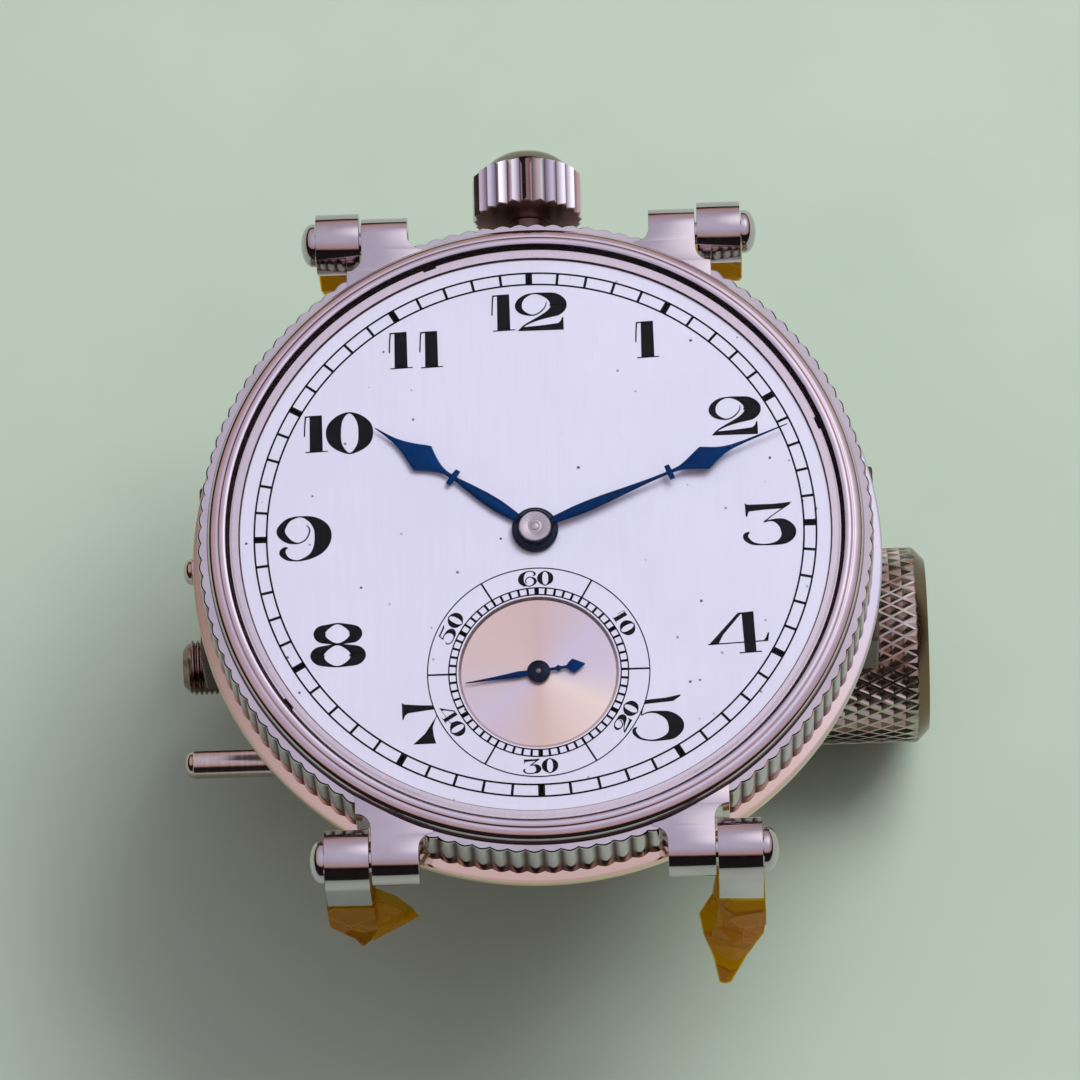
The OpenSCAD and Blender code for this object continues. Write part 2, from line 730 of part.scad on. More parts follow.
module crown() {
    skirt = crown_l / 20;
    cone_r = crown_r - 2 * crown_groove;
    neck_r = tube_r + slide_fit;
    color(steel) at_dial(stem_z) rotate([-90, 0, 0]) translate([0, 0, crown_y]) difference() {
        intersection() {
            linear_extrude(crown_l + crown_dome)
                polygon(rib_outline(crown_flutes, crown_r, crown_groove));
            rotate_extrude() polygon([
                [0, 0], [neck_r, 0], [cone_r, skirt], [crown_r, 2 * skirt], [crown_r, crown_l - skirt],
                [cone_r, crown_l + skirt], [crown_r / 2, crown_l + 0.75 * crown_dome],
                [0, crown_l + crown_dome]]);
        }
        translate([0, 0, -cut]) cylinder(r = stem_r, h = crown_l / 2 + cut);
    }
}

winding_y = crown_wheel_at[1] + crown_wheel_teeth * winding_m / 2 - 1.1 * winding_m + 2 * run_fit;
winding_l = 0.9;
winding_hub = 0.7;
pull_room = 1.6;
winding_hub_r = ratchet_top() - run_fit;
winding_tip_r = stem_z - ratchet_z + run_fit;
stem_in = winding_y - winding_hub;

function ratchet_top() = stem_z - ratchet_z - ratchet_t;

module winding_stem() {
    square_l = winding_hub + winding_l + pull_room;
    color(steel) at_dial(stem_z) rotate([-90, 0, 0]) union() {
        translate([-stem_square / 2, -stem_square / 2, stem_in]) cube([stem_square, stem_square, square_l]);
        translate([0, 0, stem_in + square_l])
            cylinder(r = stem_r, h = crown_y + crown_l / 2 - stem_in - square_l);
    }
}

module winding_pinion() {
    hole = stem_square + 2 * run_fit;
    leaf_ratio = crown_wheel_teeth / winding_leaves;
    gap_lead = (90 - bearing(crown_wheel_at, barrel_at)) % (360 / crown_wheel_teeth);
    color(brass) at_dial(stem_z) rotate([-90, 0, 0]) difference() {
        union() {
            translate([0, 0, stem_in]) cylinder(r = winding_hub_r, h = winding_hub + winding_l);
            translate([0, 0, winding_y]) linear_extrude(winding_l) rotate(90 - gap_lead * leaf_ratio)
                polygon(gear_outline(winding_leaves, winding_m));
        }
        translate([-hole / 2, -hole / 2, stem_in - cut])
            cube([hole, hole, winding_hub + winding_l + 2 * cut]);
    }
}

// Lug links, pins and tape
module link_frame(side_x, side_y) {
    at_dial(pivot_z) translate([side_x > 0 ? link_x : -link_out, side_y * pivot_y, 0])
        mirror([0, side_y > 0 ? 0 : 1, 0]) children();
}

module lug_link(side_x, side_y) {
    end_r = link_t / 2;
    color(steel) link_frame(side_x, side_y) difference() {
        union() {
            along_x(0, 0, 0, link_w, barrel_r);
            translate([0, bar_in, -link_l]) cube([link_w, link_t, link_l]);
            along_x(0, bar_mid, -link_l, link_w, end_r);
        }
        along_x(-cut, 0, 0, link_w + 2 * cut, pin_r + run_fit);
        along_x(-cut, bar_mid, -link_l, link_w + 2 * cut, strap_hole_r);
    }
}

module lug_pins() {
    shank_l = link_out + link_gap / 2 - horn_x;
    dome = concat([[0, shank_l], [pin_head_r, shank_l]],
                  [for (i = [1 : 6]) [pin_head_r * cos(i * 15), shank_l + pin_head_h * sin(i * 15)]]);
    color(steel) at_dial(pivot_z) for (side_x = [-1, 1], side_y = [-1, 1])
        translate([side_x * horn_x, side_y * pivot_y, 0]) rotate([0, side_x * 90, 0]) union() {
            cylinder(r = pin_r, h = shank_l);
            rotate_extrude() polygon(dome);
        }
}

// The film lies on the bar's faces and round its end, and is pinched into a leaning tail below it.
module lug_tape(side_x, side_y, high, tail) {
    end_r = link_t / 2 + slide_fit;
    pinch_z = -link_l - end_r - link_t / 2;
    tip_z = pinch_z - tail;
    tip_y = bar_mid + tape_lean * tail;
    wrap = concat(
        [[bar_mid + end_r + tape_t, high - link_l], [bar_mid + end_r + tape_t, -link_l],
         [bar_mid + tape_t, pinch_z], [tip_y + tape_t, tip_z], [tip_y - tape_t, tip_z],
         [bar_mid - tape_t, pinch_z], [bar_mid - end_r - tape_t, -link_l],
         [bar_mid - end_r - tape_t, high - link_l], [bar_mid - end_r, high - link_l]],
        arc([bar_mid, -link_l], end_r, 180, 360, 12),
        [[bar_mid + end_r, high - link_l]]);
    color(amber) link_frame(side_x, side_y) intersection() {
        rotate([90, 0, 90]) linear_extrude(link_w) polygon(wrap);
        translate([0, 3 * barrel_r, 0]) rotate([90, 0, 0]) linear_extrude(5 * barrel_r)
            polygon([[0, 0], [0, pinch_z], [link_w / 3, tip_z], [link_w / 2, tip_z], [link_w, pinch_z],
                     [link_w, 0]]);
    }
}

module lug_link_12_left() {
    lug_link(-1, 1);
}

module lug_link_12_right() {
    lug_link(1, 1);
}

module lug_link_6_left() {
    lug_link(-1, -1);
}

module lug_link_6_right() {
    lug_link(1, -1);
}

module lug_tape_12_left() {
    lug_tape(-1, 1, tape_high, tape_tip);
}

module lug_tape_12_right() {
    lug_tape(1, 1, tape_high, tape_tip);
}

module lug_tape_6_left() {
    lug_tape(-1, -1, tape_high, tape_tip);
}

module lug_tape_6_right() {
    lug_tape(1, -1, tape_low, tape_tail);
}

// Dial and hands
dial_foot_angles = [60, 200, 320];

module dial() {
    color(silvered) at_dial() union() {
        difference() {
            translate([0, 0, plate_top]) cylinder(r = dial_r, h = dial_t);
            translate([0, 0, plate_top - cut]) cylinder(r = dial_hole_r, h = dial_t + 2 * cut);
            translate([fourth_at[0], fourth_at[1], plate_top - cut])
                cylinder(r = seconds_r + run_fit, h = dial_t + 2 * cut);
        }
        for (a = dial_foot_angles)
            translate(concat(polar(dial_foot_at, a), plate_top - dial_foot_l))
                cylinder(r = dial_foot_r, h = dial_foot_l);
    }
}

module seconds_disc() {
    color(silvered) at_point(fourth_at, plate_top)
        tube_z(seconds_r, seconds_post_r + slide_fit, dial_t - seconds_sink);
}

// A hand lies along +Y. Each station is [share of the length, half width].
function hand_outline(l, stations) = concat(
    [for (s = stations) [s[1], s[0] * l]],
    [for (i = [len(stations) - 1 : -1 : 0]) [-stations[i][1], stations[i][0] * l]]);

module hand(l, stations, hub_outer, hub_bore) {
    linear_extrude(hand_t) difference() {
        union() {
            polygon(hand_outline(l, stations));
            circle(hub_outer);
        }
        circle(hub_bore);
    }
}

hour_stations = [[0.1, 0.35], [0.32, 0.6], [0.48, 0.2], [0.485, 0.7], [0.53, 0.7], [0.535, 0.2],
                 [0.69, 1.1], [0.8, 0.35], [1, 0.05]];
minute_stations = [[0.07, 0.35], [0.28, 0.55], [0.515, 0.18], [0.52, 0.55], [0.55, 0.55], [0.555, 0.18],
                   [0.675, 0.87], [0.77, 0.3], [1, 0.05]];
seconds_stations = [[0, 0.16], [0.5, 0.12], [1, 0.04]];
seconds_tail_stations = [[0, 0.2], [0.6, 0.12], [0.8, 0.5], [1, 0.04]];

module hour_hand() {
    color(blued) at_dial(hour_hand_z) rotate(-hour_angle)
        hand(hour_l, hour_stations, hub_hand_r, hour_pipe_r);
}

module minute_hand() {
    color(blued) at_dial(minute_hand_z) rotate(-minute_angle)
        hand(minute_l, minute_stations, hub_hand_r, cannon_r);
}

module seconds_hand() {
    color(blued) at_point(fourth_at, seconds_hand_z) rotate(-seconds_angle) union() {
        hand(seconds_l, seconds_stations, hub_seconds_r, seconds_post_r);
        rotate(180) hand(seconds_tail, seconds_tail_stations, hub_seconds_r, seconds_post_r);
    }
}

// Motion work
module cannon_pinion() {
    pinion_h = 0.3;
    foot_z = minute_wheel_z - 0.02;
    color(steel) at_dial() difference() {
        union() {
            translate([0, 0, foot_z]) linear_extrude(pinion_h) rotate(bearing(centre_at, minute_at))
                polygon(gear_outline(cannon_leaves, motion_m));
            translate([0, 0, foot_z + pinion_h]) cylinder(r = cannon_r, h = post_top - foot_z - pinion_h);
        }
        translate([0, 0, plate_z]) cylinder(r = cannon_bore_r, h = post_top - hand_t - plate_z);
    }
}

module minute_wheel() {
    pinion_top = hour_wheel_z + wheel_t;
    color(brass) at_point(minute_at) difference() {
        union() {
            translate([0, 0, minute_wheel_z]) linear_extrude(wheel_t)
                rotate(bearing(minute_at, centre_at) + 180 / minute_teeth)
                    polygon(gear_outline(minute_teeth, motion_m));
            translate([0, 0, minute_wheel_z]) linear_extrude(pinion_top - minute_wheel_z)
                rotate(bearing(minute_at, centre_at) + 180 / minute_leaves)
                    polygon(gear_outline(minute_leaves, hour_m));
        }
        translate([0, 0, plate_z]) cylinder(r = stud_r + run_fit, h = plate_t + cut);
    }
}

module hour_wheel() {
    color(brass) at_dial() difference() {
        union() {
            translate([0, 0, hour_wheel_z]) linear_extrude(wheel_t)
                rotate(bearing(centre_at, minute_at)) polygon(gear_outline(hour_teeth, hour_m));
            translate([0, 0, hour_wheel_z])
                cylinder(r = hour_pipe_r, h = hour_hand_z + hand_t - hour_wheel_z);
        }
        translate([0, 0, hour_wheel_z - cut]) cylinder(r = hour_pipe_in, h = 2 * post_top + cut);
    }
}

// Movement frame
module motion_recess() {
    room = 0.3;
    translate([0, 0, plate_top - motion_well]) {
        cylinder(r = hour_teeth * hour_m / 2 + room, h = motion_well + cut);
        translate([minute_at[0], minute_at[1], 0])
            cylinder(r = minute_teeth * motion_m / 2 + room, h = motion_well + cut);
    }
}

module main_plate() {
    centre_hole_r = centre_arbor_r + run_fit;
    stem_room = 0.15;
    hub_room = 1.2;
    color(nickel) at_dial() difference() {
        union() {
            difference() {
                translate([0, 0, plate_z]) cylinder(r = plate_r, h = plate_t);
                motion_recess();
            }
            translate([minute_at[0], minute_at[1], plate_top - motion_well])
                cylinder(r = stud_r, h = motion_well - run_fit);
            translate([crown_wheel_at[0], crown_wheel_at[1], ratchet_z])
                cylinder(r = crown_stud_r, h = plate_z - ratchet_z + cut);
            translate([click_at[0], click_at[1], ratchet_z])
                cylinder(r = stud_r, h = plate_z - ratchet_z + cut);
        }
        translate([0, 0, plate_z - cut]) cylinder(r = centre_hole_r, h = plate_t + 2 * cut);
        for (p = concat(train_jewels, [balance_at, pallet_at]))
            translate([p[0], p[1], plate_z - cut]) cylinder(r = jewel_r, h = jewel_t + cut);
        translate([fourth_at[0], fourth_at[1], plate_z])
            cylinder(r = seconds_post_r + 2 * run_fit, h = plate_t + cut);
        translate([barrel_at[0], barrel_at[1], plate_z - cut])
            cylinder(r = barrel_pivot_r + run_fit, h = jewel_t + cut);
        along_y(0, stem_in + winding_hub, stem_z, plate_r, stem_r + stem_room);
        translate([-winding_tip_r - stem_room, stem_in - stem_room - hub_room, plate_z - cut])
            cube([2 * (winding_tip_r + stem_room), winding_hub + winding_l + 2 * stem_room + hub_room,
                  stem_z + winding_tip_r + stem_room - plate_z + cut]);
        for (a = dial_foot_angles)
            translate(concat(polar(dial_foot_at, a), plate_top - dial_foot_l))
                cylinder(r = dial_foot_r, h = dial_foot_l + cut);
        for (a = case_screw_angles)
            translate(concat(polar(case_screw_at, a), plate_z - cut))
                cylinder(r = bridge_screw_r, h = plate_t / 2 + cut);
        for (p = bridge_screw_points)
            translate([p[0], p[1], plate_z - cut]) cylinder(r = bridge_screw_r, h = plate_t / 2 + cut);
    }
}

wall_mid = bridge_r - wall_w / 2;
barrel_screws = [polar(wall_mid, 20), polar(wall_mid, 100)];
train_screws = [polar(wall_mid, -25), polar(wall_mid, -80)];
bridge_screw_points = concat(barrel_screws, train_screws, [cock_foot_at, pallet_foot_at]);
bridge_split = 1.6 * plan;

module bridge_plate(outline) {
    translate([0, 0, bridge_back]) linear_extrude(bridge_t) intersection() {
        circle(bridge_r);
        polygon(outline);
    }
}

module bridge_wall_part(a0, a1) {
    translate([0, 0, bridge_back])
        ring_sector(bridge_r, bridge_r - wall_w, plate_z - bridge_back, a0, a1);
}

module screw_holes(points) {
    for (p = points)
        translate([p[0], p[1], bridge_back - cut])
            cylinder(r = bridge_screw_r, h = plate_z - bridge_back + 2 * cut);
}

module jewel_seats(points) {
    for (p = points)
        translate([p[0], p[1], bridge_z - jewel_t]) cylinder(r = jewel_r, h = jewel_t + cut);
}

module barrel_bridge() {
    left = -6.5 * plan;
    color(nickel) at_dial() difference() {
        union() {
            bridge_plate([[left, bridge_split], [bridge_r, bridge_split], [bridge_r, bridge_r],
                          [left, bridge_r]]);
            bridge_wall_part(8, 78);
            bridge_wall_part(96, 108);
        }
        screw_holes(barrel_screws);
        translate([barrel_at[0], barrel_at[1], bridge_z - jewel_t])
            cylinder(r = barrel_pivot_r + run_fit, h = jewel_t + cut);
    }
}

module train_bridge() {
    split = bridge_split - slide_fit;
    left = -3.2 * plan;
    far_left = -8.5 * plan;
    elbow = -11.5 * plan;
    color(nickel) at_dial() difference() {
        union() {
            bridge_plate([[left, split], [bridge_r, split], [bridge_r, -bridge_r], [far_left, -bridge_r],
                          [far_left, elbow]]);
            bridge_wall_part(-100, -12);
        }
        screw_holes(train_screws);
        jewel_seats(train_jewels);
        translate([0, 0, bridge_z - jewel_t]) cylinder(r = barrel_pivot_r + run_fit, h = jewel_t + cut);
    }
}

module balance_cock() {
    foot_r = 2;
    arm = [balance_at[0] - cock_foot_at[0], balance_at[1] - cock_foot_at[1]];
    stud_at = balance_at + polar(hairspring_r() + 0.35, 0);
    color(nickel) at_dial() difference() {
        union() {
            translate([cock_foot_at[0], cock_foot_at[1], bridge_back])
                cylinder(r = foot_r, h = plate_z - bridge_back);
            translate([balance_at[0], balance_at[1], bridge_back]) cylinder(r = foot_r, h = bridge_t);
            translate([cock_foot_at[0], cock_foot_at[1], bridge_back])
                rotate(bearing(cock_foot_at, balance_at)) translate([0, -foot_r * 0.8, 0])
                    cube([norm(arm), foot_r * 1.6, bridge_t]);
            translate([balance_at[0], balance_at[1] - stud_r, bridge_back])
                cube([hairspring_r() + 0.35, 2 * stud_r, bridge_t]);
            translate([stud_at[0], stud_at[1], bridge_back])
                cylinder(r = stud_r, h = hairspring_z + wheel_t - bridge_back);
        }
        screw_holes([cock_foot_at]);
        jewel_seats([balance_at]);
    }
}

module pallet_bridge() {
    foot_r = 1.1;
    arm = [pallet_at[0] - pallet_foot_at[0], pallet_at[1] - pallet_foot_at[1]];
    back = pallet_bridge_z - pallet_bridge_t;
    color(nickel) at_dial() difference() {
        union() {
            translate([pallet_foot_at[0], pallet_foot_at[1], back]) cylinder(r = foot_r, h = plate_z - back);
            translate([pallet_at[0], pallet_at[1], back]) cylinder(r = foot_r, h = pallet_bridge_t);
            translate([pallet_foot_at[0], pallet_foot_at[1], back])
                rotate(bearing(pallet_foot_at, pallet_at)) translate([0, -foot_r * 0.8, 0])
                    cube([norm(arm), foot_r * 1.6, pallet_bridge_t]);
        }
        screw_holes([pallet_foot_at]);
        translate([pallet_at[0], pallet_at[1], back - cut])
            cylinder(r = jewel_r, h = pallet_bridge_t + 2 * cut);
    }
}

module bridge_screws() {
    head_t = bridge_t / 2;
    color(blued) {
        for (p = concat(barrel_screws, train_screws, [cock_foot_at]))
            at_point(p, bridge_back)
                screw_shape(bridge_screw_r, plate_z - bridge_back + plate_t / 2, bridge_head_r, head_t);
        at_point(pallet_foot_at, pallet_bridge_z - pallet_bridge_t)
            screw_shape(bridge_screw_r, plate_z - pallet_bridge_z + pallet_bridge_t + plate_t / 2,
                        bridge_head_r, wheel_t);
    }
}

module jewels() {
    color(ruby) {
        for (p = [third_at, escape_at, balance_at, pallet_at])
            at_point(p, plate_z) tube_z(jewel_r, pivot_r + run_fit, jewel_t);
        at_point(fourth_at, plate_z) tube_z(jewel_r, seconds_post_r + run_fit, jewel_t);
        for (p = concat(train_jewels, [balance_at]))
            at_point(p, bridge_z - jewel_t) tube_z(jewel_r, pivot_r + run_fit, jewel_t);
        at_point(pallet_at, pallet_bridge_z - pallet_bridge_t)
            tube_z(jewel_r, pivot_r + run_fit, pallet_bridge_t);
    }
}

// Going train
module crossed_wheel(teeth, m, turn) {
    rim = teeth * m / 2 - 1.1 * m - 0.6;
    eye = rim * 0.28;
    arms = 5;
    arm_half = 5 + 30 / rim;
    linear_extrude(wheel_t) difference() {
        rotate(turn) polygon(gear_outline(teeth, m));
        for (i = [0 : arms - 1])
            intersection() {
                difference() {
                    circle(rim);
                    circle(eye);
                }
                sector_2d(rim, i * 360 / arms + arm_half, (i + 1) * 360 / arms - arm_half);
            }
    }
}

module pinion(leaves, m, h, turn) {
    linear_extrude(h) rotate(turn) polygon(gear_outline(leaves, m));
}

// An arbor from the plate's jewel to the bridge's jewel, thinned to a pivot at either end.
module arbor(r, top = plate_z, bottom = bridge_z) {
    shake = run_fit;
    translate([0, 0, bottom + shake]) cylinder(r = r, h = top - bottom - 2 * shake);
    translate([0, 0, bottom - jewel_t + shake]) cylinder(r = pivot_r, h = jewel_t + shake);
    translate([0, 0, top - 2 * shake]) cylinder(r = pivot_r, h = jewel_t + shake);
}

module centre_wheel() {
    color(brass) at_dial() union() {
        translate([0, 0, centre_wheel_z])
            crossed_wheel(centre_teeth, centre_m, bearing(centre_at, third_at));
        translate([0, 0, barrel_z]) pinion(centre_leaves, barrel_m, barrel_h,
                                           bearing(centre_at, barrel_at) + 180 / centre_leaves);
        translate([0, 0, bridge_z + run_fit])
            cylinder(r = centre_arbor_r, h = plate_top - motion_well - bridge_z - 2 * run_fit);
        translate([0, 0, bridge_z - jewel_t + run_fit]) cylinder(r = barrel_pivot_r, h = jewel_t);
        translate([0, 0, plate_z])
            cylinder(r = cannon_bore_r - run_fit, h = post_top - plate_z - 3 * hand_t);
    }
}

module third_wheel() {
    leaf_z = centre_wheel_z - wheel_t / 2;
    color(brass) at_point(third_at) union() {
        translate([0, 0, third_wheel_z]) crossed_wheel(third_teeth, third_m, bearing(third_at, fourth_at));
        translate([0, 0, leaf_z]) pinion(third_leaves, centre_m, 2 * wheel_t,
                                         bearing(third_at, centre_at) + 180 / third_leaves);
        arbor(train_arbor_r);
    }
}

module fourth_wheel() {
    leaf_z = third_wheel_z - wheel_t / 2;
    color(brass) at_point(fourth_at) union() {
        translate([0, 0, fourth_wheel_z])
            crossed_wheel(fourth_teeth, fourth_m, bearing(fourth_at, escape_at));
        translate([0, 0, leaf_z]) pinion(fourth_leaves, third_m, 2 * wheel_t,
                                         bearing(fourth_at, third_at) + 180 / fourth_leaves);
        arbor(train_arbor_r);
        translate([0, 0, plate_z - 2 * run_fit])
            cylinder(r = seconds_post_r, h = seconds_hand_z + hand_t - plate_z + 2 * run_fit);
    }
}

module escape_wheel() {
    leaf_z = fourth_wheel_z - wheel_t / 2;
    tooth = 360 / escape_teeth;
    root = escape_r * 0.78;
    color(steel) at_point(escape_at) union() {
        translate([0, 0, escape_wheel_z]) linear_extrude(wheel_t) difference() {
            polygon([for (i = [0 : escape_teeth - 1],
                          k = [[root, 0], [root, 0.5], [escape_r, 0.75], [escape_r, 0.85]])
                polar(k[0], (i + k[1]) * tooth)]);
            for (i = [0 : 3])
                translate(polar(escape_r * 0.45, 45 + i * 90)) circle(escape_r * 0.2);
        }
        translate([0, 0, leaf_z]) pinion(escape_leaves, fourth_m, 2 * wheel_t,
                                         bearing(escape_at, fourth_at) + 180 / escape_leaves);
        arbor(escape_arbor_r);
    }
}

// The fork spans the escape wheel with its two stones and takes the impulse pin in its slot.
module pallet_fork() {
    lever_l = balance_from_pallet - 0.75;
    lever_w = 0.6;
    slot_w = 2 * pin_slot_r();
    slot_l = 0.5;
    stone_gap = escape_r + 0.12;
    spread = 42;
    color(steel) at_point(pallet_at) union() {
        translate([0, 0, escape_wheel_z]) linear_extrude(wheel_t) difference() {
            union() {
                circle(0.7);
                rotate(bearing(pallet_at, balance_at)) translate([0, -lever_w / 2])
                    square([lever_l, lever_w]);
                translate(escape_at - pallet_at) intersection() {
                    difference() {
                        circle(stone_gap + 0.8);
                        circle(stone_gap);
                    }
                    rotate(bearing(escape_at, pallet_at)) sector_2d(escape_r + 2, -spread, spread);
                }
            }
            rotate(bearing(pallet_at, balance_at)) translate([lever_l - slot_l, -slot_w / 2])
                square([2 * slot_l, slot_w]);
        }
        arbor(fork_arbor_r, plate_z, pallet_bridge_z);
    }
}

impulse_r = 0.1;
impulse_at = 1;

function pin_slot_r() = impulse_r + 2 * run_fit;

module balance_wheel() {
    rim_w = 0.8;
    roller_r = 1.4;
    roller_t = 0.2;
    arm_half_w = 0.45;
    color(brass) at_point(balance_at) union() {
        translate([0, 0, balance_z]) tube_z(balance_r, balance_r - rim_w, balance_t);
        translate([0, 0, balance_z + balance_t / 4]) rotate(bearing(balance_at, pallet_at)) {
            translate([-balance_r + rim_w / 2, -arm_half_w, 0])
                cube([2 * balance_r - rim_w, 2 * arm_half_w, balance_t / 2]);
            cylinder(r = roller_r, h = balance_t / 2);
        }
        translate([0, 0, roller_z - roller_t]) cylinder(r = roller_r, h = roller_t);
        rotate(bearing(balance_at, pallet_at)) translate([impulse_at, 0, roller_z - roller_t])
            cylinder(r = impulse_r, h = escape_wheel_z + wheel_t - roller_z + roller_t);
        arbor(balance_arbor_r);
    }
}

function hairspring_r() = balance_r * 0.55;

module hairspring() {
    spring_t = 0.06;
    inner = 0.45;
    color(blued) at_point(balance_at, hairspring_z) linear_extrude(wheel_t * 0.75)
        polygon(spiral_outline(inner, hairspring_r(), hairspring_turns, spring_t));
}

// Barrel and winding work
module mainspring_barrel() {
    color(brass) at_point(barrel_at, barrel_z) difference() {
        union() {
            linear_extrude(2 * barrel_floor) rotate(bearing(barrel_at, centre_at))
                polygon(gear_outline(barrel_teeth, barrel_m));
            cylinder(r = drum_r, h = barrel_h - barrel_floor);
        }
        translate([0, 0, barrel_floor]) cylinder(r = drum_r - barrel_wall, h = barrel_h);
        translate([0, 0, -cut]) cylinder(r = arbor_r + run_fit, h = barrel_h);
    }
}

module barrel_lid() {
    color(brass) at_point(barrel_at, barrel_top - barrel_floor)
        tube_z(drum_r, arbor_r + run_fit, barrel_floor);
}

module mainspring() {
    spring_t = 0.13;
    gap = 0.12;
    room = 0.05;
    color(dark_steel) at_point(barrel_at, barrel_z + barrel_floor + room)
        linear_extrude(barrel_h - 2 * barrel_floor - 2 * room)
            polygon(spiral_outline(arbor_core_r + gap, drum_r - barrel_wall - spring_t - gap,
                                   mainspring_turns, spring_t));
}

module barrel_arbor() {
    color(steel) at_point(barrel_at) union() {
        translate([0, 0, bridge_z + run_fit]) cylinder(r = arbor_r, h = plate_z - bridge_z - 2 * run_fit);
        translate([0, 0, barrel_z + barrel_floor + run_fit])
            cylinder(r = arbor_core_r, h = barrel_h - 2 * barrel_floor - 2 * run_fit);
        translate([0, 0, bridge_z - jewel_t + run_fit]) cylinder(r = barrel_pivot_r, h = jewel_t);
        translate([0, 0, plate_z - 2 * run_fit]) cylinder(r = barrel_pivot_r, h = jewel_t);
    }
}

module ratchet_wheel() {
    color(steel) at_point(barrel_at, ratchet_z) linear_extrude(ratchet_t) difference() {
        rotate(bearing(barrel_at, crown_wheel_at)) polygon(gear_outline(ratchet_teeth, winding_m));
        circle(arbor_r);
    }
}

module crown_wheel() {
    color(steel) at_point(crown_wheel_at, ratchet_z) linear_extrude(ratchet_t) difference() {
        rotate(bearing(crown_wheel_at, barrel_at) + 180 / crown_wheel_teeth)
            polygon(gear_outline(crown_wheel_teeth, winding_m));
        circle(crown_stud_r + run_fit);
    }
}

module click() {
    eye_r = 0.7;
    beak_l = norm(click_at - barrel_at) - ratchet_teeth * winding_m / 2 - winding_m;
    color(steel) at_point(click_at, ratchet_z) linear_extrude(ratchet_t) difference() {
        union() {
            circle(eye_r);
            rotate(bearing(click_at, barrel_at)) polygon([[0, -eye_r], [beak_l, 0], [0, eye_r]]);
        }
        circle(stud_r + run_fit);
    }
}

fixed_jaw();
moving_jaw();
fixed_jaw_pad();
moving_jaw_pad();
guide_rods();
rod_set_screws();
lead_screw();
clamp_knob();
knob_set_screw();
thrust_collar();
middle_case();
bezel();
crystal();
dial_ring();
case_back();
back_gasket();
case_screws();
crown_tube();
crown();
winding_stem();
lug_pins();
lug_link_12_left();
lug_link_12_right();
lug_link_6_left();
lug_link_6_right();
lug_tape_12_left();
lug_tape_12_right();
lug_tape_6_left();
lug_tape_6_right();
dial();
seconds_disc();
hour_hand();
minute_hand();
seconds_hand();
cannon_pinion();
minute_wheel();
hour_wheel();
main_plate();
barrel_bridge();
train_bridge();
balance_cock();
pallet_bridge();
bridge_screws();
jewels();
mainspring_barrel();
barrel_lid();
mainspring();
barrel_arbor();
ratchet_wheel();
click();
crown_wheel();
winding_pinion();
centre_wheel();
third_wheel();
fourth_wheel();
escape_wheel();
pallet_fork();
balance_wheel();
hairspring();
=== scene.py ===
import math

import bmesh
import bpy
from mathutils import Matrix, Vector


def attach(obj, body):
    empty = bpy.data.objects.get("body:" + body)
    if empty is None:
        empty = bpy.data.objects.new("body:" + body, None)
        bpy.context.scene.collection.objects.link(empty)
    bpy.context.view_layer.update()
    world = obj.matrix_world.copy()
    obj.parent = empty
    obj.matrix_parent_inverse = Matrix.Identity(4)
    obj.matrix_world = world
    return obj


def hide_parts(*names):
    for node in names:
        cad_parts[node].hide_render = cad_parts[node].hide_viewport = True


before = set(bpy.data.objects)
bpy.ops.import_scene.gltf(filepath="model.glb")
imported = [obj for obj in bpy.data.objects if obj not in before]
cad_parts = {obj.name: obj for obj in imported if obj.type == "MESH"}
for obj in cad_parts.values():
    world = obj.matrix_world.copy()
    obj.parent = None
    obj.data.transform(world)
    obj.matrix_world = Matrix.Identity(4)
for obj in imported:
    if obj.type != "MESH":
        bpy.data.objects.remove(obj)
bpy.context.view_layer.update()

# Studio: a pale bench top under one soft window lamp at the upper right, with a
# lilac ceiling over a dark room for the steel to mirror, seen through a long lens
# from above and in front of the small seconds.
mm = 0.001
dial_h = 31.5
scene = bpy.context.scene
scene.view_settings.view_transform = "Standard"

view_turn, view_rise, view_roll = (math.radians(a) for a in (2.845, 68.368, -4.509))
view_far = 485.7
view_back = Vector((math.sin(view_turn) * math.cos(view_rise),
                    -math.cos(view_turn) * math.cos(view_rise), math.sin(view_rise)))
level = Vector((0, 0, 1)).cross(view_back).normalized()
upright = view_back.cross(level)
across = math.cos(view_roll) * level + math.sin(view_roll) * upright
upward = math.cos(view_roll) * upright - math.sin(view_roll) * level
lens = bpy.data.cameras.new("camera")
lens.sensor_width, lens.lens = 36, 245.45
lens.shift_x, lens.shift_y = 0.00452, -0.0082
lens.clip_start, lens.clip_end = 0.01, 20
camera = bpy.data.objects.new("camera", lens)
camera_at = Vector((0, 0, dial_h * mm)) + view_far * mm * view_back
camera.matrix_world = (Matrix.Translation(camera_at)
                       @ Matrix((across, upward, view_back)).transposed().to_4x4())
scene.collection.objects.link(camera)
scene.camera = camera

window = bpy.data.lights.new("window", "AREA")
window.shape, window.size, window.size_y = "RECTANGLE", 0.5, 0.4
window.energy, window.color = 4.9, (1.0, 0.98, 1.0)
window_stand = bpy.data.objects.new("window", window)
window_at = Vector((0.34, 0.35, 0.67))
window_stand.matrix_world = (Matrix.Translation(window_at)
                             @ window_at.to_track_quat("Z", "Y").to_matrix().to_4x4())
window_stand.visible_glossy = False
scene.collection.objects.link(window_stand)


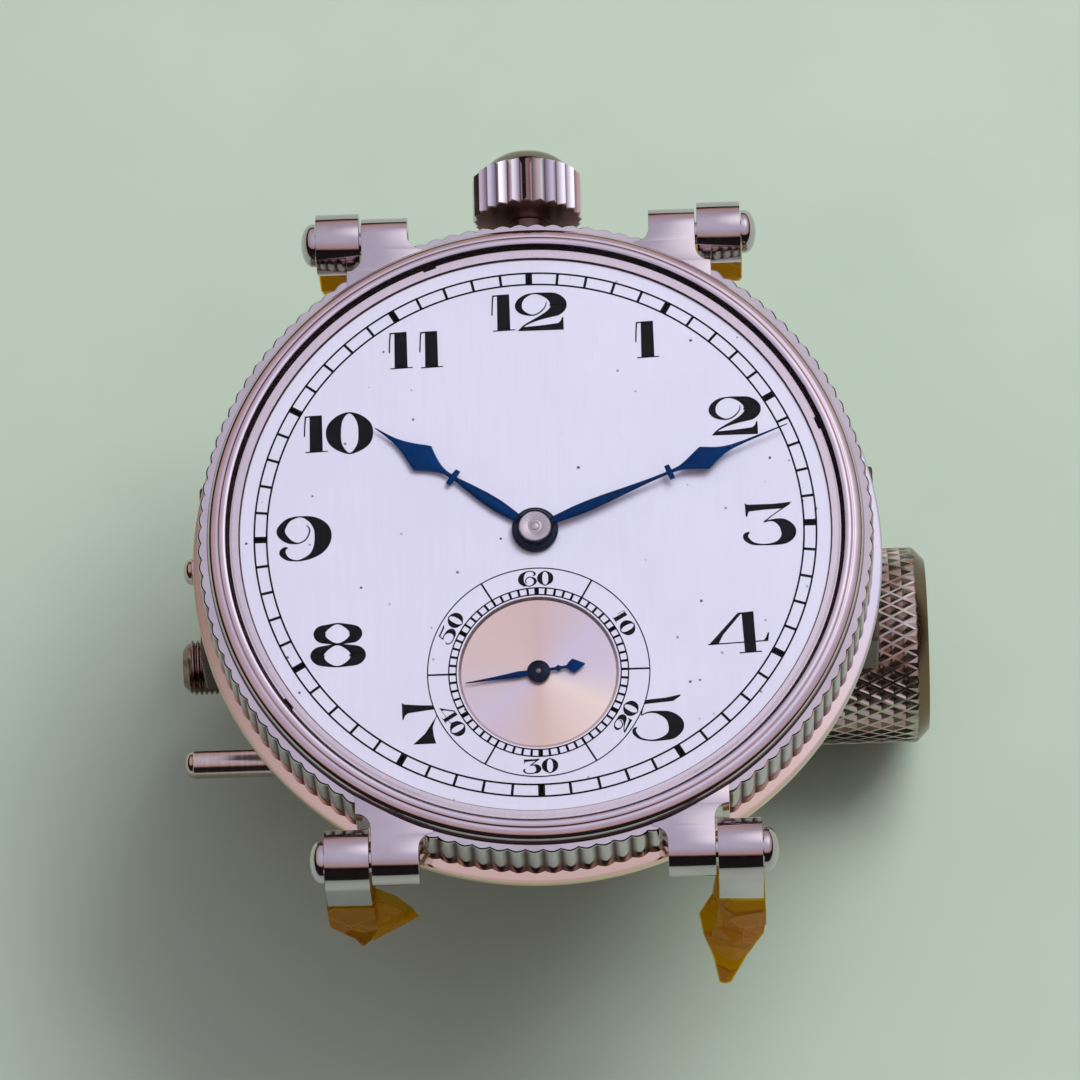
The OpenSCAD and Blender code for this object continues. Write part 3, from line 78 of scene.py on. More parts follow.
class Wire:
    """One socket of a finish, so that a pattern is written as a sum of others."""

    def __init__(self, tree, socket=None):
        self.tree, self.socket = tree, socket

    def node(self, kind, settings=None, inputs=None, out=0):
        made = self.tree.nodes.new("ShaderNode" + kind)
        for name, value in (settings or {}).items():
            if name == "stops":
                while len(made.color_ramp.elements) < len(value):
                    made.color_ramp.elements.new(1)
                for stop, (place, tone) in zip(made.color_ramp.elements, value):
                    stop.position, stop.color = place, (*tone, 1)
            else:
                setattr(made, name, value)
        for name, value in (inputs or {}).items():
            if isinstance(value, Wire):
                self.tree.links.new(value.socket, made.inputs[name])
            else:
                made.inputs[name].default_value = value
        return Wire(self.tree, made.outputs[out])

    def sum(self, operation, first, second):
        return self.node("Math", {"operation": operation}, {0: first, 1: second})

    def __add__(self, other):
        return self.sum("ADD", self, other)

    def __sub__(self, other):
        return self.sum("SUBTRACT", self, other)

    def __rsub__(self, other):
        return self.sum("SUBTRACT", other, self)

    def __mul__(self, other):
        return self.sum("MULTIPLY", self, other)

    __radd__, __rmul__ = __add__, __mul__

    def vector(self, operation, other=(0, 0, 0)):
        single = operation in ("DOT_PRODUCT", "LENGTH")
        return self.node("VectorMath", {"operation": operation}, {0: self, 1: other}, int(single))

    def axis(self, letter):
        return self.node("SeparateXYZ", None, {0: self}, letter)

    def ramp(self, *stops):
        return self.node("ValToRGB", {"stops": stops}, {"Fac": self})

    def between(self, low, high):
        return self.node("MapRange", None, {"Value": self, "From Min": low, "From Max": high})

    def mixed(self, first, second):
        tones = [tone if isinstance(tone, Wire) else (*tone, 1) for tone in (first, second)]
        return self.node("Mix", {"data_type": "RGBA"}, {0: self, 6: tones[0], 7: tones[1]}, 2)


room = bpy.data.worlds.new("room")
room.use_nodes = True
scene.world = room
ray = Wire(room.node_tree).node("TexCoord")
room_lean, room_front, glow_edge = (0.10, 0.20, 0.97), 0.6, 0.84
height = ray.vector("DOT_PRODUCT", room_lean) - room_front * ray.axis("Y").between(-0.2, -1.2)
sky = height.ramp((0.0, (0.014, 0.012, 0.012)), (0.28, (0.006, 0.004, 0.005)),
                  (0.36, (0.36, 0.20, 0.17)), (0.44, (0.56, 0.38, 0.34)), (0.62, (0.54, 0.45, 0.50)),
                  (0.80, (0.58, 0.53, 0.65)), (1.0, (0.68, 0.66, 0.82)))
glow = ray.vector("DOT_PRODUCT", window_at.normalized()).between(glow_edge, 1.0)
sky = (glow * glow).mixed(sky, (1.5, 1.46, 1.55))
room.node_tree.links.new(sky.socket, room.node_tree.nodes["Background"].inputs["Color"])


def finish(name, **sockets):
    """A new material, its shader with the given constants, and its own coordinates."""
    made = bpy.data.materials.new(name)
    made.use_nodes = True
    shader = made.node_tree.nodes["Principled BSDF"]
    for socket, value in sockets.items():
        shader.inputs[socket.replace("_", " ").title().replace("Ior", "IOR")].default_value = value
    return made, shader, Wire(made.node_tree).node("TexCoord", None, None, "Object")


def feed(shader, **wires):
    """Lead patterns into the shader's sockets."""
    for socket, wire in wires.items():
        wire.tree.links.new(wire.socket, shader.inputs[socket.replace("_", " ").title()])


def bumped(wire, depth, shader):
    """Raise a pattern by a depth in mm on the shader's surface."""
    bump = {"Strength": 1.0, "Distance": depth * mm, "Height": wire}
    feed(shader, normal=wire.node("Bump", None, bump))


def speckle(place, scale, stretch=(1, 1, 1), detail=3.0):
    """Noise in object space, with so many specks to the mm, drawn out along an axis."""
    spread = place.node("Mapping", None,
                        {"Vector": place, "Scale": tuple(scale / mm * s for s in stretch)})
    return place.node("TexNoise", None,
                      {"Vector": spread, "Scale": 1.0, "Detail": detail, "Roughness": 0.55})


def patches(place, scale, stretch=(1, 1, 1)):
    """The same noise as a share from 0 to 1."""
    return speckle(place, scale, stretch).between(0.3, 0.7)


bench_paint, paint, grain = finish("bench_paint", roughness=0.62)
feed(paint, base_color=patches(grain, 0.05).mixed((0.45, 0.58, 0.45), (0.48, 0.61, 0.48)))
bench_half = 1.5
bench_shape = bmesh.new()
bmesh.ops.create_grid(bench_shape, x_segments=1, y_segments=1, size=bench_half)
bench_mesh = bpy.data.meshes.new("bench")
bench_shape.to_mesh(bench_mesh)
bench_shape.free()
bench_mesh.materials.append(bench_paint)
bench = bpy.data.objects.new("bench", bench_mesh)
scene.collection.objects.link(bench)

# Holder jaws: two milled steel blocks with a stepped arm each, sawn and draw-filed
# along the screw, their corners broken with a fine file, and their lips under the
# case painted dark brown as shade.
# Soft nylon pads lie in the arms where they touch the case.
lip_from, lip_to, jaw_edge = 20.0, 21.2, 0.2
filed_steel, steel, grain = finish("filed_steel", metallic=1.0)
lines = speckle(grain, 6.0, (0.03, 1, 1))
stain = speckle(grain, 0.25).between(0.35, 0.7)
block_tone = stain.mixed((0.50, 0.49, 0.49), (0.60, 0.59, 0.58))
# Painted shade: the lips under the case are painted dark brown.
lip_shade = lines.sum("ABSOLUTE", grain.axis("X"), 0).between(lip_from * mm, lip_to * mm)
feed(steel, base_color=lip_shade.mixed(block_tone, (0.10, 0.066, 0.05)),
     roughness=lines.between(0.25, 0.75) * 0.16 + 0.28)
bumped(lines, 0.004, steel)

nylon, polymer, grain = finish("nylon", roughness=0.45, subsurface_weight=0.2,
                               subsurface_radius=(0.8 * mm,) * 3)
feed(polymer, base_color=patches(grain, 0.9).mixed((0.74, 0.72, 0.66), (0.80, 0.79, 0.74)))


def dressed(node, surface, rounding=0.0):
    """Give a solid its finish, and break its corners by a width in mm."""
    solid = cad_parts[node]
    for slot in solid.material_slots:
        slot.material = surface
    if rounding:
        weld = solid.modifiers.new("weld", "WELD")
        weld.merge_threshold = 1e-6
        corners = solid.modifiers.new("corners", "BEVEL")
        corners.width, corners.segments, corners.limit_method = rounding * mm, 2, "ANGLE"
        corners.angle_limit = math.radians(40)


for node in ("fixed_jaw", "moving_jaw"):
    dressed(node, filed_steel, jaw_edge)
for node in ("fixed_jaw_pad", "moving_jaw_pad"):
    dressed(node, nylon)

# Guide rods: two ground and polished steel rods pressed through the fixed jaw,
# each turned to a blunt dome at its free end. The moving jaw runs on them, and a
# small set screw in each flank of the block holds its rod.
polished_rod, steel, grain = finish("polished_rod", metallic=1.0)
rings = patches(grain, 5.0, (1, 0.02, 0.02))
feed(steel, base_color=rings.mixed((0.58, 0.47, 0.43), (0.70, 0.60, 0.57)), roughness=rings * 0.08 + 0.13)
screw_h = 8.0
rod_r, rod_y, rod_left, rod_right = 1.0, 7.1, -24.9, 12.0
rod_l = rod_right - rod_left


def turned(profile, steps):
    """A shape turned on the lathe about the upright axis from (radius, height) points in mm."""
    shape = bmesh.new()
    rim = [shape.verts.new((r, 0, z)) for r, z in profile]
    edges = [shape.edges.new(pair) for pair in zip(rim, rim[1:])]
    bmesh.ops.spin(shape, geom=rim + edges, axis=(0, 0, 1), cent=(0, 0, 0),
                   angle=2 * math.pi, steps=steps, use_merge=True)
    bmesh.ops.remove_doubles(shape, verts=shape.verts, dist=1e-5)
    bmesh.ops.recalc_face_normals(shape, faces=shape.faces)
    return shape


def softened(shape, width, segments, sharp):
    """Round every sharp edge of a shape by a width in mm."""
    edges = [e for e in shape.edges if e.is_manifold and e.calc_face_angle() > math.radians(sharp)]
    bmesh.ops.bevel(shape, geom=edges, offset=width, offset_type="OFFSET", segments=segments,
                    profile=0.5, affect="EDGES", clamp_overlap=True, material=-1)
    return shape


def placed(shape, *moves):
    """Turn and shift a shape by matrices, the first one first."""
    for move in moves:
        bmesh.ops.transform(shape, matrix=move, verts=shape.verts)
    return shape


def joined(*shapes):
    """Several shapes as one."""
    whole = shapes[0]
    for other in shapes[1:]:
        part = bpy.data.meshes.new("part")
        other.to_mesh(part)
        other.free()
        whole.from_mesh(part)
        bpy.data.meshes.remove(part)
    return whole


def piece(shape, name, surface, body, slot, *stands_for, sharp=32):
    """A finished shape in mm as a piece on a body, in place of the named solids."""
    bmesh.ops.scale(shape, vec=(mm, mm, mm), verts=shape.verts)
    mesh = bpy.data.meshes.new(name)
    shape.to_mesh(mesh)
    shape.free()
    mesh.materials.append(surface)
    mesh.shade_smooth()
    mesh.set_sharp_from_angle(angle=math.radians(sharp))
    made = bpy.data.objects.new(name, mesh)
    scene.collection.objects.link(made)
    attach(made, body)
    if stands_for:
        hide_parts(*stands_for)


to_right = Matrix.Rotation(math.pi / 2, 4, "Y")
rod_profile = [(0, 0), (0.35, 0.03), (0.62, 0.12), (0.8, 0.26), (0.91, 0.43), (0.955, 0.6), (0.97, 0.62),
               (rod_r, 0.65), (rod_r, rod_l - 0.2), (0.8, rod_l), (0, rod_l)]
rods = [placed(turned(rod_profile, 48), to_right, Matrix.Translation((rod_left, side * rod_y, screw_h)))
        for side in (-1, 1)]
piece(joined(*rods), "guide_rod_pair", polished_rod, "holder", "bright_steel", "guide_rods")
dressed("rod_set_screws", polished_rod)

# Clamp screw: a browned steel screw that runs through both blocks. Its free end
# is threaded, the right end is plain and carries a thrust collar and the knob.
browned_steel, steel, grain = finish("browned_steel", metallic=1.0)
smear = speckle(grain, 1.2).between(0.3, 0.72)
feed(steel, base_color=smear.mixed((0.20, 0.12, 0.08), (0.40, 0.30, 0.25)),
     roughness=patches(grain, 5.0) * 0.12 + 0.2)
thread_r, thread_root, thread_tip, thread_pitch = 1.9, 1.66, 1.3, 0.35
thread_turns, thread_steps, lead_turns = 60, 28, 2
screw_left, screw_right = -24.9, 24.55
screw_l, shank_r = screw_right - screw_left, thread_r - 0.05
thread = bmesh.new()
flank = [thread.verts.new((r, 0, z * thread_pitch)) for r, z in (
    (thread_root, -1), (thread_root, -0.92), (thread_r, -0.58), (thread_r, -0.38), (thread_root, 0))]
ridge = [thread.edges.new(pair) for pair in zip(flank, flank[1:])]
bmesh.ops.spin(thread, geom=flank + ridge, axis=(0, 0, 1), cent=(0, 0, 0),
               dvec=(0, 0, thread_pitch / thread_steps),
               angle=2 * math.pi * (thread_turns + lead_turns),
               steps=thread_steps * (thread_turns + lead_turns))
bmesh.ops.remove_doubles(thread, verts=thread.verts, dist=1e-4)
thread_l = thread_pitch * thread_turns
for cut_z, keep in ((0, -1), (thread_l, 1)):
    bmesh.ops.bisect_plane(thread, geom=thread.verts[:] + thread.edges[:] + thread.faces[:],
                           plane_co=(0, 0, cut_z), plane_no=(0, 0, keep), clear_outer=True)
for vert in thread.verts:
    most = thread_tip + vert.co.z
    if vert.co.xy.length > most:
        vert.co.xy *= most / vert.co.xy.length
bmesh.ops.holes_fill(thread, edges=[e for e in thread.edges if e.is_boundary], sides=0)
bmesh.ops.recalc_face_normals(thread, faces=thread.faces)
shank = turned([(0, thread_l - 0.1), (shank_r, thread_l - 0.1), (shank_r, screw_l), (0, screw_l)], 48)
clamp_axis = Matrix.Translation((screw_left, 0, screw_h)) @ to_right
piece(placed(joined(thread, shank), clamp_axis), "clamp_screw_rod", browned_steel,
      "clamp_screw", "bright_steel", "lead_screw")
for node in ("thrust_collar", "knob_set_screw"):
    dressed(node, browned_steel)

# Clamp knob: a steel knob turned with a hub and a smooth bevelled rim at each
# end, and rolled between them with crossed ridges round sunk diamonds, so that
# it grips the fingers. Handling has left it a warm colour, and its end rim is
# painted dark brown as a painted dark reflection.
knob_r, hub_r, hub_left, knob_left, knob_right = 6.7, 3.2, 12.05, 17.05, 26.25
ridges_round, ridge_rows, rim_l, pit_depth, crest_w = 92, 9, 0.85, 0.42, 0.085
hub_edge, dish_r, dish_depth = 0.25, 4.5, 0.3
knurled_steel, steel, grain = finish("knurled_steel", metallic=1.0)
knob_tone = patches(grain, 0.8).mixed((0.42, 0.34, 0.28), (0.58, 0.51, 0.46))
# Painted reflection: the end rim is painted dark brown.
end_rim_dark_reflection = grain.axis("X").between((knob_right - 0.9) * mm, (knob_right - 0.75) * mm)
feed(steel, base_color=end_rim_dark_reflection.mixed(knob_tone, (0.20, 0.125, 0.08)),
     roughness=patches(grain, 4.0) * 0.1 + 0.16)
hub_l, knob_l = knob_left - hub_left, knob_right - knob_left
knurl_l = knob_l - 2 * rim_l
knurl_rows = [(knob_r, rim_l + knurl_l * row / ridge_rows) for row in range(ridge_rows + 1)]
knob = turned([(0, -hub_l), (hub_r - hub_edge, -hub_l), (hub_r, hub_edge - hub_l), (hub_r, 0),
               (knob_r - rim_l, 0), (knob_r - 0.12, rim_l - 0.18)] + knurl_rows
              + [(knob_r - 0.12, knob_l - rim_l + 0.16), (knob_r - rim_l, knob_l), (dish_r, knob_l),
                 (dish_r - dish_depth, knob_l - dish_depth), (0, knob_l - dish_depth)], ridges_round)
tops, pits = [], []
for vert in knob.verts:
    row = (vert.co.z - rim_l) / knurl_l * ridge_rows
    if abs(vert.co.xy.length - knob_r) < 0.01 and abs(row - round(row)) < 0.01:
        column = math.atan2(vert.co.y, vert.co.x) / (2 * math.pi) * ridges_round
        if (round(column) + round(row)) % 2 == 0:
            tops.append(vert)
        elif 0 < round(row) < ridge_rows:
            pits.append(vert)
bmesh.ops.connect_verts(knob, verts=tops)
for vert in pits:
    vert.co.xy *= (knob_r - pit_depth) / knob_r
crests = [e for e in knob.edges if e.verts[0] in set(tops) and e.verts[1] in set(tops)
          and abs(e.verts[0].co.z - e.verts[1].co.z) > 0.1]
bmesh.ops.bevel(knob, geom=crests, offset=crest_w, offset_type="OFFSET", segments=1, profile=0.5,
                affect="EDGES", clamp_overlap=True, material=-1)
piece(placed(knob, to_right, Matrix.Translation((knob_left, 0, screw_h))), "knurled_knob", knurled_steel,
      "clamp_screw", "bright_steel", "clamp_knob", sharp=18)

# Middle case: one piece of mirror-polished nickel steel, milled round its edge
# like a coin, with four horns drawn out of the shoulder and hollow corners at
# their roots. Fine wiping marks and a few hairlines lie in the polish. The valleys
# between the ribs are painted dark brown as shade, and made rougher.
steel_tones = (0.55, 0.485, 0.515), (0.63, 0.565, 0.595)
mirror_steel, steel, grain = finish("mirror_steel", metallic=1.0)
wipe = patches(grain, 0.35)
hairs = speckle(grain, 3.0, (1, 0.15, 1), 5.0).between(0.45, 0.75)
feed(steel, base_color=wipe.mixed(*steel_tones), roughness=hairs * 0.06 + wipe * 0.03 + 0.07)
milled_steel, steel, grain = finish("milled_steel", metallic=1.0)
wipe = patches(grain, 0.35)
# Painted shade: the valleys between the ribs, read from the 'hollow' share, are painted dark brown and made
# rougher.
grime_and_valley_shade = grain.node("Attribute", {"attribute_name": "hollow"}, None, "Fac").between(0.35, 0.9)
feed(steel, base_color=(grime_and_valley_shade * 0.92).mixed(wipe.mixed(*steel_tones), (0.07, 0.035, 0.03)),
     roughness=grime_and_valley_shade * 0.25 + wipe * 0.03 + 0.08)
edge_r, edge_ribs, edge_depth, rib_facets, band_in = 22.36, 120, 0.18, 6, 20.5
rib_from, rib_full, rib_curve = edge_r - 0.45, edge_r - 0.12, 1.6
band_z, shoulder_z = dial_h - 4.4, dial_h - 0.3
band = turned([(band_in, band_z), (edge_r - 0.35, band_z), (edge_r, band_z + 0.12),
               (edge_r, shoulder_z - 0.18), (edge_r - 0.04, shoulder_z - 0.06), (rib_full, shoulder_z),
               (rib_from, shoulder_z), (band_in, shoulder_z), (band_in, band_z)], edge_ribs * rib_facets)
# The share into each rib valley, which the painted shade reads.
valley_grime_and_shade_mark = band.verts.layers.float.new("hollow")
for vert in band.verts:
    out = vert.co.xy.length
    share = min(1, max(0, (out - rib_from) / (rib_full - rib_from)))
    turn = math.atan2(vert.co.y, vert.co.x) / (2 * math.pi) * edge_ribs
    lobe = abs(2 * (turn - math.floor(turn)) - 1)
    vert.co.xy *= (out - share * edge_depth * lobe ** rib_curve) / out
    vert[valley_grime_and_shade_mark] = share * lobe if vert.co.z < shoulder_z - 0.1 else 0.4 * share * lobe
horn_from, horn_in, horn_out, horn_round, horn_edge = 17.6, 8.1, 11.2, 1.67, 0.16
root_round, root_sink = 1.0, 0.1
pivot_y, pivot_z = 21.95, dial_h - 1.95


def hollow(run):
    """How far a root corner spreads beyond the horn's side, so many mm out from the band."""
    run = min(max(run, 0), root_round)
    return root_round - math.sqrt(root_round ** 2 - (root_round - run) ** 2)


def outline(shape, points):
    """The vertices and the edges of a new closed outline."""
    verts = [shape.verts.new(point) for point in points]
    return verts, [shape.edges.new(pair) for pair in zip(verts, verts[1:] + verts[:1])]


def only(kind, geom):
    """The vertices, edges or faces out of what an operator returns."""
    return [g for g in geom if isinstance(g, kind)]


def drawn(sections, open_top=False):
    """A shape drawn out from one closed outline to the next, each with as many points."""
    shape = bmesh.new()
    verts, rim = outline(shape, sections[0])
    if not open_top:
        shape.faces.new(verts)
    for section in sections[1:]:
        grown = bmesh.ops.extrude_edge_only(shape, edges=rim)["geom"]
        fresh, rim = only(bmesh.types.BMVert, grown), only(bmesh.types.BMEdge, grown)
        verts = [min(fresh, key=lambda v: (v.co - old.co).length) for old in verts]
        for vert, point in zip(verts, section):
            vert.co = point
    shape.faces.new(verts)
    bmesh.ops.recalc_face_normals(shape, faces=shape.faces)
    return shape


def mirrored(shape, side_x, side_y):
    """Carry a shape made for the right of the crown side over to another corner."""
    bmesh.ops.scale(shape, vec=(side_x, side_y, 1), verts=shape.verts)
    bmesh.ops.recalc_face_normals(shape, faces=shape.faces)
    return shape


def horn(side_x, side_y):
    """One horn, drawn out section by section from inside the band."""
    inner_root, outer_root = (math.sqrt(edge_r ** 2 - x ** 2) - root_sink for x in (horn_in, horn_out))
    runs = [horn_from] + [root + root_round * s for root in (outer_root, inner_root)
                          for s in (0, 0.08, 0.2, 0.4, 0.7, 1)]
    stations = [(run, horn_in - hollow(run - inner_root), horn_out + hollow(run - outer_root), horn_round)
                for run in sorted(runs) if run < pivot_y]
    stations += [(pivot_y + horn_round * math.sin(a), horn_in, horn_out, horn_round * math.cos(a))
                 for a in (math.radians(step * 11) for step in range(9))]
    shape = drawn([[(left, run, -half), (right, run, -half), (right, run, half), (left, run, half)]
                   for run, left, right, half in stations])
    softened(shape, horn_edge, 3, 60)
    return placed(mirrored(shape, side_x, side_y), Matrix.Translation((0, 0, pivot_z)))


corner_names = {(-1, 1): "12_left", (1, 1): "12_right", (-1, -1): "6_left", (1, -1): "6_right"}
piece(joined(band, *(horn(*corner) for corner in corner_names)), "coin_edge_case", milled_steel,
      "watch", "polished_steel", "middle_case", sharp=28)

# Bezel: a turned steel ring snapped over the shoulder with a shadow line under
# it, sloped outside, with a shallow groove and a thin lip that holds the glass.
# The polish stays bright; its inner wall is painted near black and its foot dark
# brown, as painted shade.
bezel_steel, steel, grain = finish("bezel_steel", specular_ior_level=0.05)
glass_lip, foot_z = 20.43, dial_h + 0.04


def out_from_axis(place):
    """Distance of a point from the dial's axis."""
    return place.vector("MULTIPLY", (1, 1, 0)).vector("LENGTH")


def at_dial(shape, y=0, rise=0):
    """Set a shape made about the origin on the dial's face, so far along Y and up."""
    return placed(shape, Matrix.Translation((0, y, dial_h + rise)))


wipe = patches(grain, 0.35)
# Painted shade: the inner wall below the glass lip is painted near black and the foot under the bead dark
# brown, and neither is metallic.
inner_wall_shade = 1 - out_from_axis(grain).between(glass_lip * mm, (glass_lip + 0.03) * mm)
foot_shade = 1 - grain.axis("Z").between(foot_z * mm, (foot_z + 0.2) * mm)
bezel_tone = foot_shade.mixed(wipe.mixed((0.66, 0.58, 0.64), (0.74, 0.66, 0.72)), (0.09, 0.036, 0.032))
feed(steel, base_color=inner_wall_shade.mixed(bezel_tone, (0.012, 0.006, 0.007)),
     metallic=(1 - inner_wall_shade) * (1 - foot_shade), roughness=wipe * 0.04 + foot_shade * 0.2 + 0.1)
bezel_profile = [(20.5, -1.1), (21.1, -1.1), (21.1, -0.3), (21.66, -0.3), (21.7, -0.24), (21.71, -0.14),
                 (21.69, 0.02), (21.64, 0.17), (21.57, 0.29), (21.48, 0.38), (21.35, 0.46), (21.2, 0.53),
                 (21.1, 0.57), (21.04, 0.58), (20.99, 0.57), (20.93, 0.59), (20.87, 0.64), (20.8, 0.68),
                 (20.71, 0.7), (20.6, 0.7), (20.52, 0.69), (20.47, 0.67), (20.44, 0.62), (20.17, 0.215),
                 (20.5, 0.205), (20.5, -1.1)]
piece(at_dial(turned(bezel_profile, 240)), "beaded_bezel", bezel_steel, "watch", "polished_steel", "bezel")

# Crystal: a low domed watch glass, moulded with a turned-down rim and pressed into
# the lip. It is clear, so it only lays a thin gloss over the dial.
clear_glass, opaque, grain = finish("clear_glass")
grain.tree.nodes.remove(opaque)


def surfaced(shaders):
    """Lead a mix of shaders to the material's surface."""
    shaders.tree.links.new(shaders.socket, shaders.tree.nodes["Material Output"].inputs["Surface"])


gloss = grain.node("BsdfGlossy", None, {"Color": (1, 1, 1, 1), "Roughness": 0.03})
through = grain.node("BsdfTransparent", None, {"Color": (0.985, 0.99, 0.985, 1)})
cover = grain.node("Fresnel", None, {"IOR": 1.3}) * (0.2 + 0.06 * patches(grain, 0.2))
surfaced(grain.node("MixShader", None, {0: cover, 1: through, 2: gloss}))
glass_under = [(0, 1.2), (10, 1.13), (16, 1.02), (18.2, 0.93), (19.0, 0.88), (19.7, 0.8), (20.0, 0.68),
               (20.12, 0.4)]
glass_over = [(20.42, 0.45), (20.35, 0.75), (20.1, 0.98), (19.5, 1.13), (18.5, 1.22), (16, 1.32),
              (10, 1.43), (0, 1.5)]
piece(at_dial(turned(glass_under + glass_over, 192)), "watch_glass", clear_glass, "watch",
      "crystal_glass", "crystal")

# Case back: a turned cover with a wide flange that carries the band, finely
# ground round the flange and spun on its floor, closed on a thin rubber ring.
# The flange is painted with the reflections it shows: brown on the left, lilac on
# the right and warm in front.
flange_z, flange_far, warm_from, warm_full, back_edge = dial_h - 5.4, 22.0, -4.0, -18.0, 0.08
ground_steel, steel, grain = finish("ground_steel", metallic=1.0)
spokes = speckle(grain, 2.2, (1, 1, 0.1), 4.0)
flange = grain.axis("Z").between((flange_z - 0.2) * mm, flange_z * mm)
# Painted reflection: the flange runs from brown on the left to lilac on the right, and turns warm in front.
right_side_reflection = grain.axis("X").between(-flange_far * mm, flange_far * mm)
front_warm_reflection = 1 - grain.axis("Y").between(warm_full * mm, warm_from * mm)
flange_painted_reflection = front_warm_reflection.mixed(right_side_reflection.mixed((0.50, 0.35, 0.25), (0.50, 0.47, 0.57)), (0.82, 0.60, 0.47))
floor_tone = patches(grain, 0.3).mixed((0.70, 0.64, 0.64), (0.78, 0.72, 0.73))
feed(steel, base_color=flange.mixed(floor_tone, flange_painted_reflection),
     roughness=(1 - flange) * (spokes.between(0.3, 0.7) * 0.14 + 0.1) + 0.07)
bumped(spokes * (1 - flange), 0.002, steel)
back = turned([(0, -8.3), (19.7, -8.3), (20.5, -7.5), (20.5, -5.4), (22.7, -5.4), (22.95, -5.15),
               (22.95, -4.62), (22.89, -4.47), (22.73, -4.4), (19.95, -4.4), (19.95, -3.5), (18.9, -3.5),
               (18.9, -7.6), (0, -7.6)], 240)
piece(at_dial(softened(back, back_edge, 2, 60)), "flanged_back", ground_steel, "watch", "polished_steel",
      "case_back")
black_rubber, rubber, grain = finish("black_rubber", roughness=0.7)
feed(rubber, base_color=patches(grain, 3.0).mixed((0.02, 0.02, 0.02), (0.05, 0.05, 0.05)))
dressed("back_gasket", black_rubber)
for node in ("case_screws", "crown_tube", "winding_stem"):
    dressed(node, mirror_steel)

# Dial ring: a flat brass ring, silvered and brushed, that holds the dial down
# inside the bezel. Three notches in its rim clear the case screws.
ring_satin, satin, grain = finish("ring_satin", metallic=1.0)
brush = speckle(grain, 5.0, (1, 0.2, 1), 4.0)
streaks = brush.between(0.3, 0.7)
feed(satin, base_color=streaks.mixed((0.76, 0.65, 0.70), (0.80, 0.69, 0.74)), roughness=streaks * 0.06 + 0.2)
bumped(brush, 0.0003, satin)
dressed("dial_ring", ring_satin)

# Crown: a steel crown with straight sharp flutes, cut off below by a flat cone
# and above by a chamfer round a polished dome, on the winding stem. The flute
# grooves and the cone next to the case are painted dark as shade, and the chamfer
# and dome darker brown as a painted dark reflection.
crown_flutes, crown_r, flute_depth, crown_near, stem_z = 24, 3.7, 0.34, 23.2, dial_h - 2.45
crown_l, crown_dome, neck_r, dome_r, crown_skirt = 3.4, 1.6, 1.4, 3.06, 0.34
crown_far, flute_r, flute_foot, flute_head = crown_near + crown_l, crown_r - flute_depth, 0.16, 0.24
crown_steel, steel, grain = finish("crown_steel", metallic=1.0)
wipe = patches(grain, 0.6)
along = grain.axis("Y")
# Painted shade on the cone next to the case (under) and in the flute grooves (groove); painted dark
# reflection on the chamfer and dome (over).
under = 1 - along.between((crown_near + 0.24) * mm, (crown_near + 0.34) * mm)
over = along.between((crown_far - 0.02) * mm, (crown_far + 0.16) * mm)
about_stem = grain.node("Mapping", None, {"Vector": grain, "Location": (0, 0, -stem_z * mm)})
from_stem = about_stem.vector("MULTIPLY", (1, 0, 1)).vector("LENGTH")
groove = 1 - from_stem.between(flute_r * mm, (crown_r - 0.1) * mm)
flute_tone = (groove * 0.9).mixed(wipe.mixed((0.80, 0.77, 0.83), (0.88, 0.85, 0.92)), (0.17, 0.12, 0.14))
crown_tone = over.mixed(flute_tone, (0.30, 0.21, 0.19))
feed(steel, base_color=under.mixed(crown_tone, (0.24, 0.135, 0.105)),
     roughness=under * 0.3 + wipe * 0.04 + 0.09)
dome = [(r, crown_l + rise) for r, rise in (
    (dome_r, 0.12), (3.0, 0.22), (2.8, 0.55), (2.5, 0.87), (2.1, 1.16), (1.6, 1.38), (1.0, 1.53),
    (0.45, 1.59), (0, crown_dome))]
crown = turned([(0, 0), (neck_r, 0), (neck_r + 0.04, 0.02), (flute_r - 0.12, crown_skirt - 0.19),
                (crown_r, crown_skirt), (crown_r, crown_l - 0.16)] + dome, crown_flutes * 2)
for vert in crown.verts:
    out, height = vert.co.xy.length, vert.co.z
    if abs(out - crown_r) < 0.01:
        column = round(math.atan2(vert.co.y, vert.co.x) / (2 * math.pi) * crown_flutes * 2)
        if column % 2:
            vert.co.xy *= flute_r / crown_r
            vert.co.z += -flute_foot if height < crown_l / 2 else flute_head
piece(placed(crown, Matrix.Rotation(-math.pi / 2, 4, "X"), Matrix.Translation((0, crown_near, stem_z))),
      "fluted_crown", crown_steel, "crown", "polished_steel", "crown", sharp=22)

# Lug links: four drop links with a round barrel that turns on a domed pin in
# the horn, and a flat bar below with a cross hole for the strap bar, all polished.
link_in, link_out, link_l, link_edge, barrel_r, strap_hole_r = 11.35, 14.25, 7.0, 0.14, 2.05, 0.8
bar_near, bar_far = -0.25, 2.05
bar_mid, end_r = (bar_near + bar_far) / 2, (bar_far - bar_near) / 2


def arc(middle, radius, first, last, steps):
    """Points round a middle, with angles in degrees from the outward direction towards up."""
    angles = [math.radians(first + (last - first) * s / steps) for s in range(steps + 1)]
    return [(middle[0] + radius * math.cos(a), middle[1] + radius * math.sin(a)) for a in angles]


